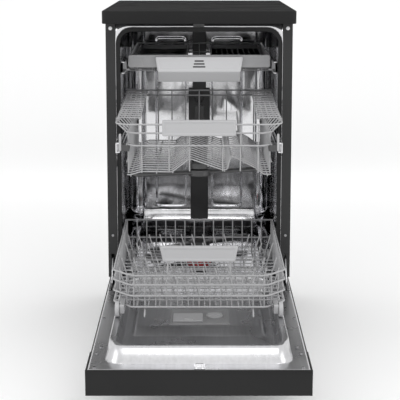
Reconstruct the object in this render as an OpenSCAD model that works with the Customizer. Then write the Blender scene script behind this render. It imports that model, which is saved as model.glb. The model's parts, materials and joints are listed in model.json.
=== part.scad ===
// Slimline dishwasher, door open and racks drawn out.
// Lengths are in millimetres. X runs to the right, Y runs to the back, Z runs up.
// Every piece is drawn from the cabinet's front plane (y = 0) and the floor (z = 0),
// and in_frame() then centres the open machine on the origin.

/* [Cabinet] */
// Width across the side panels
cabinet_w = 440; // [420:2:600]
// Depth of the side panels behind the front plane
cabinet_d = 546; // [542:1:660]
// Height of the side panels' top, where the worktop lies
cabinet_top = 820; // [815:5:900]
// Thickness of the painted sheet
sheet = 1; // [0.8:0.1:1.5]
// Width of the front flange on each side panel
flange_w = 23; // [21:1:26]

/* [Worktop] */
// Thickness of the worktop
worktop_t = 30; // [20:1:40]
// How far the worktop stands past each side panel
worktop_side = 5; // [0:1:15]
// How far the worktop stands in front of the cabinet
worktop_front = 51; // [0:1:60]
// How far the worktop stands behind the side panels
worktop_back = 3; // [3:1:20]
// Radius of the worktop's front corners
worktop_r = 14; // [4:1:30]

/* [Tub] */
// Gap between a side panel's outer face and the tub's inner wall
tub_inset = 23.5; // [23:0.5:32]
// Height of the tub's floor
tub_floor = 200; // [200:1:205]
// Height of the wheel ledges and of the track on the open door
ledge_z = 219; // [217:1:222]
// Width of each wheel ledge
ledge_w = 34; // [30:1:36]
// Gap between the worktop and the tub's ceiling
tub_top_gap = 11; // [9:1:20]
// Gap between the tub's back wall and the side panels' rear edge
back_gap = 14; // [12:1:16]
// Radius of the tub's corners
tub_r = 38; // [20:1:50]
// Thickness of the tub's steel
tub_wall = 1; // [0.6:0.1:1.5]
// Width of the door seal, seen from the front
seal_w = 10.5; // [8:0.5:11]

/* [Door] */
// Length of the door from the hinge axis to its free edge
door_len = 609.5; // [590:0.5:612]
// Length of the door below the hinge axis when it is shut
door_tail = 58; // [50:0.5:60]
// Thickness of the door
door_t = 52; // [40:1:54]
// Angle that the door stands open at rest
door_open = 91; // [90.5:0.1:91.5]
// Height of the hinge axis
hinge_z = 208.5; // [207:0.5:210]
// Distance of the hinge axis behind the front plane
hinge_y = 5.5; // [4:0.5:8]
// Distance of the door's inner rim in front of the hinge axis when shut
rim_drop = 9.5; // [9:0.5:11]
// Depth of the pocket in the inner door, below the rim
pocket_drop = 10; // [6:1:14]
// Length of the control fascia at the free edge
fascia_len = 48; // [40:1:60]

/* [Racks] */
// Clearance between a rack and the door seal on each side
rack_gap = 1; // [0.8:0.1:8]
// Diameter of a rack's rim wires
rim_d = 4; // [3:0.5:5]
// Diameter of a rack's lattice wires
lattice_d = 3; // [2.5:0.5:4]
// Depth of the lower rack
lower_depth = 484; // [460:2:484]
// How far the lower rack stands out in front of the cabinet
lower_out = 367; // [340:1:380]
// Diameter of a lower rack wheel
wheel_d = 32; // [24:1:36]
// Depth of the middle rack
mid_depth = 456; // [430:2:460]
// How far the middle rack stands out in front of the cabinet
mid_out = 222; // [150:1:260]
// Height of the middle rack's front rim
mid_rim = 611; // [605:1:615]
// How much narrower the cutlery rack is on each side than the racks below
third_inset = 13.5; // [12:0.5:25]
// Depth of the cutlery rack
third_depth = 414; // [380:2:420]
// Distance of the cutlery rack behind the front plane
third_front = 66; // [50:1:80]
// Height of the cutlery rack's rim
third_top = 739; // [735:1:745]

/* [Spray arms] */
// Length of the lower spray arm
lower_arm_len = 312; // [280:2:312]
// Length of the middle spray arm
mid_arm_len = 320; // [280:5:330]
// Clearance between a turning piece and its pin
run_clear = 0.1; // [0.05:0.05:0.1]

/* [Hidden] */
$fn = 48;
wire_sides = 8;          // wires are drawn as eight-sided bars
gap = 0.4;               // between pieces that move past each other
half_w = cabinet_w / 2;
tub_half = half_w - tub_inset;
tub_top = cabinet_top - tub_top_gap;
seal_half = tub_half - seal_w;
rack_half = seal_half - rack_gap;
tub_back = cabinet_d - back_gap;
worktop_z = cabinet_top + worktop_t;
notch_z = hinge_z - 4.5;
tail_swing = norm([door_tail, rim_drop + door_t]);   // the sweep of the door's lower corner
notch_y = hinge_y + tail_swing + 4;
base_top = hinge_z - tail_swing - 5;
lean = door_open - 90;
tip_y = hinge_y - door_len * cos(lean) + rim_drop * sin(lean);
rear_y = cabinet_d + worktop_back;
front_y = -(tip_y + rear_y) / 2;

apron_y = notch_y + 2;                 // behind this the tub's floor is at its lowest
hub_y = 258;                           // spray arm hub
sump_d = 100;
filter_y = apron_y + sump_d / 2 + 3;   // middle of the filter
salt_x = -112;
salt_y = 205;
duct_y = tub_back - 9;                 // front face of the water duct
ridge_z = ledge_z - hinge_z;           // track height above the hinge axis, in the world
ridge_w = 18;                          // width of the raised track on each side of the inner door
fascia_y = -(door_len - fascia_len);
bulge_y = -(door_len - 33);            // end of the raised inner door near the free edge
bulge_half = seal_half - 0.8;

lower_y0 = -lower_out;
lower_y1 = lower_y0 + lower_depth;
mid_y0 = -mid_out;
mid_y1 = mid_y0 + mid_depth;
third_y1 = third_front + third_depth;
rim_x = rack_half - rim_d / 2;
wheel_x = rack_half - 9;
wheel_z = ledge_z + wheel_d / 2 + 0.3;

// ---- shared shapes ----

// Moves the cabinet's front plane so that the open machine is centred on the origin
module in_frame() translate([0, front_y, 0]) children();

// A box between limits on each axis
module block(x, y, z) translate([x[0], y[0], z[0]]) cube([x[1] - x[0], y[1] - y[0], z[1] - z[0]]);

module both_sides() { children(); mirror([1, 0, 0]) children(); }

// Door pieces are drawn from the hinge axis with the door lying level
module on_door() translate([0, hinge_y, hinge_z]) rotate([lean, 0, 0]) children();

// A straight wire from a to b
module wire(a, b, d) {
  run = b - a;
  long = norm(run);
  translate(a) rotate([0, acos(run[2] / long), atan2(run[1], run[0])])
    rotate(180 / wire_sides) cylinder(d = d / cos(180 / wire_sides), h = long, $fn = wire_sides);
}

// The outline of a bent bar of width w that follows pts in its own plane, with mitred corners
function unit(v) = v / norm(v);
function bar_sides(pts) = let (last = len(pts) - 1, run = [for (i = [1 : last]) unit(pts[i] - pts[i - 1])])
  [for (i = [0 : last]) let (a = run[max(i - 1, 0)], b = run[min(i, last - 1)],
                             m = unit([-a[1] - b[1], a[0] + b[0]])) m / (m * [-b[1], b[0]])];
module bent_bar(pts, w) {
  side = bar_sides(pts);
  last = len(pts) - 1;
  polygon(concat([for (i = [0 : last]) pts[i] + side[i] * w / 2],
                 [for (i = [last : -1 : 0]) pts[i] - side[i] * w / 2]));
}
// Bent wires have a square section: one that lies level at height z, and one that stands at depth y
module level_wire(pts, d, z) translate([0, 0, z - d / 2]) linear_extrude(d) bent_bar(pts, d);
module standing_wire(pts, d, y) from_front(y - d / 2, y + d / 2) bent_bar(pts, d);

// A rectangle with round corners, centred
module round_rect(w, h, r) {
  square([w - 2 * r, h], center = true);
  square([w, h - 2 * r], center = true);
  for (x = [-1, 1], y = [-1, 1]) translate([x * (w / 2 - r), y * (h / 2 - r)]) circle(r);
}

// A 2D shape in X and Z, pushed back from y0 to y1
module from_front(y0, y1) translate([0, y1, 0]) rotate([90, 0, 0]) linear_extrude(y1 - y0) children();

// A 2D shape in Y and Z, pushed across from x0 to x1
module from_side(x0, x1) translate([x0, 0, 0]) rotate([90, 0, 90]) linear_extrude(x1 - x0) children();

// The places of n things spread evenly from a to b
function spread(a, b, n) = [for (i = [0 : n - 1]) a + (b - a) * i / (n - 1)];
// The number of gaps of about one pitch that fit from a to b, plus one
function count(a, b, pitch) = round(abs(b - a) / pitch) + 1;

// ---- cabinet ----

module worktop() color([0.10, 0.10, 0.11]) in_frame()
  translate([0, 0, cabinet_top]) linear_extrude(worktop_t) {
    half = half_w + worktop_side;
    translate([-half, worktop_r - worktop_front]) square([2 * half, rear_y + worktop_front - worktop_r]);
    translate([worktop_r - half, -worktop_front]) square([2 * (half - worktop_r), worktop_front]);
    for (s = [-1, 1]) translate([s * (half - worktop_r), worktop_r - worktop_front]) circle(worktop_r);
  }

plug_z = cabinet_top - 13;
screw_z = 308;
fixing_x = half_w - 11.5;
arm_x = half_w - 11;
arm_reach = 52;                        // how far from the hinge axis an arm passes the flange

kick_y = 42;                           // front face of the kick plate
panel_foot = 20;                       // height of the side panels' lower edge
module side_panel() difference() {
  union() {
    block([half_w - sheet, half_w], [0, cabinet_d], [panel_foot, cabinet_top]);
    block([half_w - flange_w, half_w - sheet / 2], [0, sheet], [notch_z, cabinet_top]);
    block([half_w - flange_w, half_w - sheet / 2], [0, cabinet_d], [cabinet_top - sheet, cabinet_top]);
    block([half_w - 16, half_w - sheet / 2], [cabinet_d - sheet, cabinet_d], [panel_foot, cabinet_top]);
  }
  // room for the door's lower edge as it swings, and for the kick plate below it
  block([half_w - 30, half_w + 1], [-1, notch_y], [base_top + 2, notch_z]);
  block([half_w - 30, half_w + 1], [-1, kick_y], [panel_foot - 1, base_top + 3]);
  translate([fixing_x, -1, plug_z]) rotate([-90, 0, 0]) cylinder(d = 6, h = 4);
  translate([fixing_x, -1, screw_z]) rotate([-90, 0, 0]) cylinder(d = 3.2, h = 4);
  block([arm_x - 4, arm_x + 4], [-1, sheet + 1], [notch_z - 1, hinge_z + arm_reach + 1.5]);
}
module side_panel_right() color([0.16, 0.16, 0.17]) in_frame() side_panel();
module side_panel_left() color([0.16, 0.16, 0.17]) in_frame() mirror([1, 0, 0]) side_panel();

// The water inlet, drain and mains cable come out low on the back
inlet_at = [150, 95];
drain_at = [60, 82];
gland_at = [-150, 95];
pan_top = 60;                          // height of the base pan's rim
module back_panel() color([0.55, 0.56, 0.57]) in_frame() difference() {
  block([sheet - half_w, half_w - sheet], [cabinet_d - 2 * sheet, cabinet_d - sheet],
        [pan_top + 2, cabinet_top - sheet]);
  for (at = [inlet_at, drain_at, gland_at])
    translate([at[0], cabinet_d - 4, at[1]]) rotate([-90, 0, 0])
      cylinder(d = at == inlet_at ? 54 : 24, h = 6);
}

foot_x = half_w - 34;
foot_y = [kick_y + 22, cabinet_d - 50];
pan_z = 16;
module base_pan() color([0.12, 0.12, 0.13]) in_frame() difference() {
  block([sheet - half_w, half_w - sheet], [kick_y + 2, cabinet_d - 2 * sheet], [pan_z, pan_top]);
  block([4 - half_w, half_w - 4], [kick_y + 5, cabinet_d - 2 * sheet - 3], [pan_z + 3, pan_top + 1]);
  for (s = [-1, 1], y = foot_y) translate([s * foot_x, y, 0]) cylinder(d = 10.2, h = 40);
}

module kick_plate() color([0.10, 0.10, 0.11]) in_frame()
  block([2 - half_w, half_w - 2], [kick_y, kick_y + 2], [10, base_top]);

module feet() color([0.2, 0.2, 0.21]) in_frame()
  for (s = [-1, 1], y = foot_y) translate([s * foot_x, y, 0]) {
    cylinder(d = 36, h = 6);
    cylinder(d = 20, h = pan_z, $fn = 6);
    cylinder(d = 10, h = pan_z + 20);
  }

module flange_plugs() color("white") in_frame() both_sides()
  translate([fixing_x, 0, plug_z]) rotate([90, 0, 0]) {
    cylinder(d = 9, h = 2);
    translate([0, 0, -4]) cylinder(d = 6, h = 5);
  }

module flange_screws() color([0.7, 0.7, 0.72]) in_frame() both_sides()
  translate([fixing_x, 0, screw_z]) rotate([90, 0, 0]) difference() {
    union() { cylinder(d = 6, h = 1.8); translate([0, 0, -7]) cylinder(d = 3.2, h = 8); }
    for (a = [0, 90]) translate([0, 0, 1.6]) rotate(a) cube([3.4, 0.7, 1.6], center = true);
  }

// The hinge pins and their plates, bolted inside the side panels
module hinge_brackets() color([0.7, 0.7, 0.72]) in_frame() both_sides() {
  block([half_w - 3.5, half_w - sheet], [2, 60], [notch_z + 2, 300]);
  translate([half_w - 20, hinge_y, hinge_z]) rotate([0, 90, 0]) cylinder(d = 8, h = 18);
}

module cable_gland() color([0.1, 0.1, 0.1]) in_frame()
  translate([gland_at[0], cabinet_d - sheet, gland_at[1]]) rotate([-90, 0, 0]) difference() {
    union() {
      translate([0, 0, -6]) cylinder(d = 24, h = 6);
      cylinder(d = 28, h = worktop_back + sheet);
    }
    translate([0, 0, -7]) cylinder(d = 8, h = 20);
  }

// ---- tub ----

// The tub's inside, grown outwards by g: round at the top corners and at the back corners
module tub_room(g, y0) {
  half = tub_half + g;
  r = tub_r + g;
  top = tub_top + g;
  back = tub_back + g;
  intersection() {
    from_front(y0, back) {
      translate([-half, ledge_z - g]) square([2 * half, top - r - ledge_z + g]);
      translate([-(half - r), ledge_z]) square([2 * (half - r), top - ledge_z]);
      for (s = [-1, 1]) translate([s * (half - r), top - r]) circle(r);
    }
    translate([0, 0, 100]) linear_extrude(cabinet_top) {
      translate([-half, y0]) square([2 * half, back - r - y0]);
      translate([-(half - r), y0]) square([2 * (half - r), back - y0]);
      for (s = [-1, 1]) translate([s * (half - r), back - r]) circle(r);
    }
  }
  from_side(-(tub_half - ledge_w + g), tub_half - ledge_w + g)
    polygon([[y0, 214 - g], [apron_y - 6, 207 - g], [apron_y + 2, tub_floor - g],
             [back - tub_r - g, tub_floor - g], [back - 12, ledge_z + 5], [y0, ledge_z + 5]]);
}

module tub() color([0.78, 0.79, 0.8]) in_frame() {
  difference() {
    union() {
      tub_room(tub_wall, sheet);
      block([-(half_w - flange_w + 2), half_w - flange_w + 2], [sheet, 2 * sheet], [ledge_z - 1, cabinet_top - 2]);
    }
    tub_room(0, 0);
    translate([0, filter_y, 150]) cylinder(d = sump_d - 10, h = 60);
    translate([0, hub_y, 150]) cylinder(d = 40, h = 60);
    translate([salt_x, salt_y, 150]) cylinder(d = 62, h = 60);
  }
  // embossed fields of the back wall
  for (x = [-80, 78]) from_front(tub_back - 1.5, tub_back + 0.5)
    translate([x, 507]) round_rect(86, 484, 12);
}

module door_seal() color([0.05, 0.05, 0.05]) in_frame() from_front(2.6, 18) difference() {
  seal_outline(tub_half, tub_r);
  seal_outline(seal_half, tub_r - seal_w);
}
module seal_outline(half, r) {
  top = tub_top - (tub_half - half);
  translate([-half, half == tub_half ? ledge_z : ledge_z - 1]) square([2 * half, top - r - ledge_z + 1]);
  translate([-(half - r), ledge_z + 20]) square([2 * (half - r), top - ledge_z - 20]);
  for (s = [-1, 1]) translate([s * (half - r), top - r]) circle(r);
}

lock_z = [tub_top + 0.6, cabinet_top - 1];
module door_lock() color([0.2, 0.2, 0.21]) in_frame() difference() {
  block([-14, 12], [-1.5, sheet], lock_z);
  block([-8, 6], [-3, 0.6], [lock_z[0] + 2, lock_z[1] - 3]);
}

// The duct climbs the back wall and feeds the middle rack and the ceiling nozzle
dock_z = 579;
duct_top = tub_top - 10;
module water_duct() color([0.25, 0.26, 0.27]) in_frame() {
  block([-25, 25], [duct_y, tub_back], [ledge_z, 503]);
  difference() {
    block([-30, 30], [duct_y, tub_back], [502, 606]);
    translate([0, duct_y - 1, dock_z]) rotate([-90, 0, 0]) cylinder(d = 24, h = 6);
  }
  block([-19, 19], [duct_y, tub_back], [605, tub_top]);
  block([-19, 19], [hub_y, tub_back - 1], [duct_top, tub_top]);
  translate([0, hub_y, duct_top - 8]) cylinder(d = 60, h = 12);
}

// ---- sump and filters ----

module sump() color([0.3, 0.31, 0.33]) in_frame() {
  difference() {
    union() {
      translate([0, filter_y, 118]) cylinder(d = sump_d, h = tub_floor - tub_wall - 118);
      block([-30, 30], [filter_y, hub_y], [170, tub_floor - tub_wall]);
      translate([0, hub_y, 170]) cylinder(d = 60, h = tub_floor - tub_wall - 170);
    }
    translate([0, filter_y, 124]) cylinder(d = sump_d - 12, h = 100);
    translate([0, hub_y, 176]) cylinder(d = 34, h = 40);
    block([-12, 12], [filter_y + 30, hub_y], [178, 190]);
  }
  // the pin that the lower spray arm turns on
  translate([0, hub_y, 172]) cylinder(d = 20, h = lower_arm_z + 13 - 172);
  translate([0, hub_y, lower_arm_z + 12.4]) cylinder(d = 28, h = 3);
}

module filter_plate() color([0.66, 0.67, 0.68]) in_frame() difference() {
  translate([0, filter_y, tub_floor]) cylinder(d = sump_d, h = 1.2);
  translate([0, filter_y, tub_floor - 1]) cylinder(d = 64, h = 4);
  for (i = [0 : 23]) translate([0, filter_y, tub_floor - 1]) rotate(i * 15) translate([(sump_d / 2 + 32) / 2, 0]) cylinder(d = 5, h = 4, $fn = 16);
}

module filter_handle() color([0.75, 0.10, 0.10]) in_frame() translate([0, filter_y, 0]) {
  translate([0, 0, tub_floor + 1.6]) cylinder(d = 62, h = 2.4);
  difference() {
    translate([0, 0, 140]) cylinder(d = 60, h = tub_floor - 137);
    translate([0, 0, 143]) cylinder(d = 56, h = tub_floor - 142);
  }
  block([-27, 27], [-4, 4], [tub_floor + 3, tub_floor + 11]);
  block([-4, 4], [-27, 27], [tub_floor + 3, tub_floor + 11]);
}

// A cylinder lying along X
module lying_x(d, x0, x1) translate([x0, 0, 0]) rotate([0, 90, 0]) cylinder(d = d, h = x1 - x0);
module lying_y(d, y0, y1) translate([0, y0, 0]) rotate([-90, 0, 0]) cylinder(d = d, h = y1 - y0);

pump_z = 142;
module circulation_pump() color([0.15, 0.15, 0.16]) in_frame() translate([0, filter_y, pump_z]) {
  difference() {
    lying_x(34, 40, 76);
    translate([0, 0, -60]) cylinder(d = sump_d, h = 120);
  }
  lying_x(80, 75, 100);
  lying_x(70, 99, 170);
  block([118, 150], [-14, 14], [30, 46]);
}

drain_x = -106;
module drain_pump() color([0.15, 0.15, 0.16]) in_frame() {
  translate([0, filter_y, 132]) {
    difference() {
      lying_x(24, -84, -40);
      translate([0, 0, -60]) cylinder(d = sump_d, h = 120);
    }
    lying_x(56, -130, -83);
  }
  // rigid pipe down, across under the sump and out to the hose spigot
  turn_y = cabinet_d - 106;
  translate([drain_x, filter_y, drain_at[1]]) cylinder(d = 18, h = 40);
  translate([drain_x, filter_y, drain_at[1]]) sphere(d = 19);
  wire([drain_x, filter_y, drain_at[1]], [drain_at[0], turn_y, drain_at[1]], 16);
  translate([drain_at[0], 0, drain_at[1]]) {
    translate([0, turn_y, 0]) sphere(d = 20);
    lying_y(19, turn_y, rear_y);
  }
}

module inlet_valve() color([0.85, 0.85, 0.83]) in_frame() translate([inlet_at[0], 0, inlet_at[1]]) {
  lying_y(26.4, cabinet_d - 30, rear_y);
  lying_y(36, cabinet_d - 26, cabinet_d - 20);
  block([-22, 22], [cabinet_d - 62, cabinet_d - 29], [-22, 22]);
}

module softener() color([0.88, 0.88, 0.86]) in_frame() {
  block([-170, -62], [salt_y - 27, salt_y + 105], [100, tub_floor - 12]);
  difference() {
    translate([salt_x, salt_y, tub_floor - 13]) cylinder(d = 72, h = 13 - tub_wall);
    translate([salt_x, salt_y, tub_floor - 13]) cylinder(d = 50, h = 14);
  }
}

module salt_cap() color([0.35, 0.36, 0.38]) in_frame() translate([salt_x, salt_y, 0]) {
  translate([0, 0, tub_floor - 8]) cylinder(d = 49, h = 10);
  translate([0, 0, tub_floor + 1]) difference() {
    cylinder(d = 58, h = 8, $fn = 64);
    for (s = [-1, 1]) translate([s * 20, 0, 3]) block([-8, 8], [-30, 30], [0, 10]);
  }
}

lower_arm_z = ledge_z + 1.5;
// A hollow spray arm with a bored hub, two tapering blades and water jets
module spray_arm(long, z, bore) difference() {
  union() {
    for (a = [0, 180]) rotate(a) translate([0, 0, z])
      linear_extrude(9) polygon([[0, -20], [long / 2 - 8, -11], [long / 2, -5], [long / 2, 8], [long / 2 - 8, 14], [0, 20]]);
    translate([0, 0, z - 3]) cylinder(d = 56, h = 15);
  }
  translate([0, 0, z - 5]) cylinder(d = bore, h = 40);
  for (a = [0, 180], i = [1 : 5]) rotate(a) translate([20 + i * (long / 2 - 30) / 5.2, 2, z + 6]) cylinder(d = 3, h = 10, $fn = 16);
}

module lower_spray_arm() color([0.22, 0.23, 0.25]) in_frame()
  translate([0, hub_y, 0]) rotate(32) spray_arm(lower_arm_len, lower_arm_z, 20 + 2 * run_clear);

// ---- rails for the racks ----

rail_mid_z = 556;
rail_third_z = 712;
slider_x = [rack_half - 9.5, rack_half - 0.2];
module rail(z, y0, y1) {
  block([slider_x[1] + 3, tub_half], [y0, y1], [z - 14, z + 14]);
  for (s = [-1, 1]) block([slider_x[0] + 2, slider_x[1] + 4], [y0, y1], [z + s * 13 - 1, z + s * 13 + 1]);
}
module rack_rails() color([0.7, 0.71, 0.72]) in_frame() both_sides() {
  rail(rail_mid_z, 24, 470);
  rail(rail_third_z, 24, 470);
}

// ---- door ----

// The inner door's track, so high that it is level with the ledges when the door lies open
function track(y) = (ridge_z - y * sin(lean)) / cos(lean);
liner_half = half_w - 4.5;
skin_z = -(rim_drop + door_t);
pocket_z = -(rim_drop + pocket_drop);
pocket_half = bulge_half - ridge_w;
pocket_y = [bulge_y + 30, -62];
panel_half = pocket_half - 23.2;        // half width of the raised field in the pocket

module plan(half, y, r) translate([0, (y[0] + y[1]) / 2]) round_rect(2 * half, y[1] - y[0], r);

module bulge(inset) intersection() {
  translate([0, 0, -40]) linear_extrude(120) plan(bulge_half - inset, [bulge_y + inset, -14 - inset], 30 - inset);
  from_side(-bulge_half, bulge_half) polygon([[-10, -rim_drop - 0.5 * sheet - (inset > 0 ? 1 : 0)],
    [-24, track(-24) - inset], [bulge_y + 8, track(bulge_y + 8) - inset],
    [bulge_y - 1, -rim_drop - 0.5 * sheet - (inset > 0 ? 1 : 0)]]);
}
module pocket(grow, z) translate([0, 0, z]) linear_extrude(100) plan(pocket_half + grow, pocket_y + [-grow, grow], 34 + grow);

dispenser_x = [-60, 62];
dispenser_y = [-335, -240];
panel_z = pocket_z + 8;
module door_inner_liner() color([0.75, 0.76, 0.77]) in_frame() on_door() {
  difference() {
    union() {
      block([-liner_half, liner_half], [-door_len + 1, door_tail - 1], [-rim_drop - sheet, -rim_drop]);
      bulge(0);
      intersection() {
        pocket(sheet, pocket_z - sheet);
        block([-half_w, half_w], [-door_len, 0], [pocket_z - 2 * sheet, -rim_drop]);
      }
    }
    difference() { bulge(sheet); pocket(sheet, pocket_z - sheet); }
    pocket(0, pocket_z);
    block([dispenser_x[0], dispenser_x[1]], dispenser_y, [-40, 0]);
    both_sides() block([arm_x - 3, arm_x + 3], [-102, 18], [-20, 0]);
  }
  // raised field of the pocket, with a sloping front edge
  difference() {
    from_side(-panel_half, panel_half) polygon([[-392, pocket_z - 0.5 * sheet], [-345, panel_z], [-75, panel_z], [-68, pocket_z - 0.5 * sheet]]);
    block([dispenser_x[0], dispenser_x[1]], dispenser_y, [-40, 0]);
  }
  both_sides() block([liner_half - sheet, liner_half], [-door_len + fascia_len + 1, door_tail - 1], [skin_z + sheet, -rim_drop - 0.5 * sheet]);
}

module door_outer_panel() color([0.10, 0.10, 0.11]) in_frame() on_door() {
  block([-half_w, half_w], [fascia_y, door_tail], [skin_z, skin_z + sheet]);
  both_sides() block([half_w - sheet, half_w], [fascia_y, door_tail], [skin_z + 0.5 * sheet, -rim_drop - 8]);
  block([-half_w, half_w], [door_tail - sheet, door_tail], [skin_z + 0.5 * sheet, -rim_drop - sheet]);
}

button_x = [-150, 150];
button_y = -door_len + 26;
button_d = 16;
module control_fascia() color([0.14, 0.14, 0.145]) in_frame() on_door() difference() {
  block([-half_w, half_w], [-door_len, fascia_y], [skin_z, -rim_drop - sheet]);
  block([3 - half_w, half_w - 3], [-door_len + 3, fascia_y + 1], [skin_z + 3, -rim_drop - sheet - 3]);
  for (x = button_x) translate([x, button_y, skin_z - 1]) cylinder(d = button_d + 2 * run_clear, h = 6);
  // finger grip on the underside of the fascia
  block([-70, 70], [-door_len + 16, fascia_y - 8], [skin_z - 1, skin_z + 1.6]);
}

module button(x) {
  translate([x, button_y, skin_z - 1.5]) cylinder(d = button_d, h = 8);
  translate([x, button_y, skin_z + 5.5]) cylinder(d = button_d + 4, h = 2);
}
module power_button() color([0.6, 0.6, 0.62]) in_frame() on_door() button(button_x[0]);
module start_button() color([0.6, 0.6, 0.62]) in_frame() on_door() button(button_x[1]);

module control_board() color([0.1, 0.35, 0.2]) in_frame() on_door() {
  block([-180, 180], [-door_len + 8, fascia_y - 2], [skin_z + 13, skin_z + 14.6]);
  for (x = [-120, 0, 120]) block([x - 5, x + 5], [-door_len + 3.2, -door_len + 9], [skin_z + 3.2, skin_z + 14]);
  for (x = spread(-100, 100, 5)) block([x - 9, x + 9], [-door_len + 14, fascia_y - 14], [skin_z + 14.5, skin_z + 24]);
}

cap_at = [34, -288];
module dispenser() color([0.72, 0.73, 0.74]) in_frame() on_door() difference() {
  union() {
    block(dispenser_x, dispenser_y, [panel_z - 26, panel_z + 4]);
    block(dispenser_x + [-4, 4], dispenser_y + [-4, 4], [panel_z, panel_z + 3]);
  }
  block([-52, 4], [dispenser_y[0] + 8, dispenser_y[0] + 52], [panel_z - 22, panel_z + 10]);
  translate([cap_at[0], cap_at[1], panel_z - 8]) cylinder(d = 36, h = 20);
}

lid_travel = 34;
module dispenser_lid() color([0.66, 0.67, 0.69]) in_frame() on_door() {
  block([-56, 8], [dispenser_y[0] + 4, dispenser_y[0] + 56], [panel_z + 4.4, panel_z + 7]);
  block([-34, -14], [dispenser_y[0] + 10, dispenser_y[0] + 16], [panel_z + 6.5, panel_z + 10]);
}

module rinse_aid_cap() color([0.55, 0.56, 0.58]) in_frame() on_door() translate([cap_at[0], cap_at[1], 0]) {
  translate([0, 0, panel_z - 8]) cylinder(d = 36 - 2 * run_clear, h = 14);
  block([-15, 15], [-2.5, 2.5], [panel_z + 5, panel_z + 10]);
}

module door_strike() color([0.8, 0.8, 0.81]) in_frame() on_door() {
  block([-10, 12], [-door_len + 4, bulge_y - 3], [-rim_drop, -rim_drop + 2]);
  for (x = [-7, 5]) block([x, x + 4], [-door_len + 5, -door_len + 9], [-rim_drop + 1, -rim_drop + 9]);
  block([-7, 9], [-door_len + 5, -door_len + 9], [-rim_drop + 8, -rim_drop + 11]);
}

module hinge_arms() color([0.8, 0.8, 0.81]) in_frame() on_door() both_sides() {
  difference() {
    from_side(arm_x - 1.5, arm_x + 1.5) polygon([[-98, -40], [-98, -rim_drop + 3], [-50, -rim_drop + 3.6],
      [-46, 2], [-14, 43], [4, 47], [14, 34], [14, -14], [-30, -40]]);
    lying_x(8 + 2 * run_clear, arm_x - 3, arm_x + 3);
  }
  block([arm_x + 1, liner_half - sheet], [-96, -50], [-38, -20]);
}

// Screws along the inner rim: [distance from the hinge axis, distance from the middle]
rim_screw_at = [[301, 208], [481, 199], [517, 204], [595, 203]];
module rim_screws() color([0.5, 0.5, 0.52]) in_frame() on_door() both_sides()
  for (p = rim_screw_at) translate([p[1], -p[0], -rim_drop]) difference() {
    cylinder(d = 7, h = 2);
    for (a = [0, 90]) translate([0, 0, 1.6]) rotate(a) cube([4, 0.8, 1.4], center = true);
  }

// ---- lower rack ----

lower_rims = [311, 290, 266, 242];
lower_back_rims = [320, 275];
lower_corner = [rack_half - 41, 45];   // where the straight front ends, and the depth of the slanted corner
lower_floor_x = rack_half - 29;        // the outermost floor wires that run front to back
lower_floor_z = 240;
weld = 0.6;                      // how deep crossing wires sink into each other
inside = (rim_d + lattice_d) / 2 - weld;
wire_step = 24;
handle_z = [342, 375];
handle_post_x = 66;

module lower_front(z) {
  c = lower_corner;
  level_wire([[-rim_x, lower_y0 + c[1] + 5], [-rim_x, lower_y0 + c[1]], [-c[0], lower_y0],
              [c[0], lower_y0], [rim_x, lower_y0 + c[1]], [rim_x, lower_y0 + c[1] + 5]], rim_d, z);
}
module lower_rack_ends() color([0.8, 0.81, 0.82]) in_frame() {
  xs = spread(-lower_corner[0] + 6, lower_corner[0] - 6, count(-lower_corner[0], lower_corner[0], wire_step));
  for (z = lower_rims) lower_front(z);
  for (x = xs) wire([x, lower_y0 + inside, lower_floor_z - 1.5], [x, lower_y0 + inside, lower_rims[0] + 1], lattice_d);
  for (s = [-1, 1]) wire([s * handle_post_x, lower_y0, lower_rims[0] - 3], [s * handle_post_x, lower_y0, handle_z[0] + 12], rim_d);
  for (s = [-1, 1], t = [0.3, 0.7]) {
    at = [s * (lower_corner[0] + (rim_x - lower_corner[0]) * t - inside * 0.75), lower_y0 + lower_corner[1] * t + inside * 0.66, 0];
    wire(at + [0, 0, lower_floor_z - 1.5], at + [0, 0, lower_rims[0] + 1], lattice_d);
  }
  for (z = lower_back_rims) wire([-rim_x, lower_y1 - rim_d / 2, z], [rim_x, lower_y1 - rim_d / 2, z], rim_d);
  for (x = spread(-lower_floor_x, lower_floor_x, count(-lower_floor_x, lower_floor_x, wire_step)))
    wire([x, lower_y1 - rim_d / 2 - inside, lower_floor_z - 1.5], [x, lower_y1 - rim_d / 2 - inside, lower_back_rims[0] + 1], lattice_d);
}

module lower_rack_sides() color([0.8, 0.81, 0.82]) in_frame() both_sides() {
  y0 = lower_y0 + lower_corner[1] + 5;
  y1 = lower_y1 - rim_d;
  wire([rim_x, y0, lower_rims[0]], [rim_x, y1 + rim_d, lower_back_rims[0]], rim_d);
  for (z = [lower_rims[1], lower_rims[2], lower_rims[3]]) wire([rim_x, y0, z], [rim_x, y1, z], rim_d);
  for (y = spread(y0 + 8, y1 - 8, count(y0, y1, wire_step))) {
    top = lower_rims[0] + (lower_back_rims[0] - lower_rims[0]) * (y - y0) / (y1 - y0);
    wire([rim_x - inside, y, lower_floor_z - 1], [rim_x - inside, y, top + 1], lattice_d);
  }
}

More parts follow.
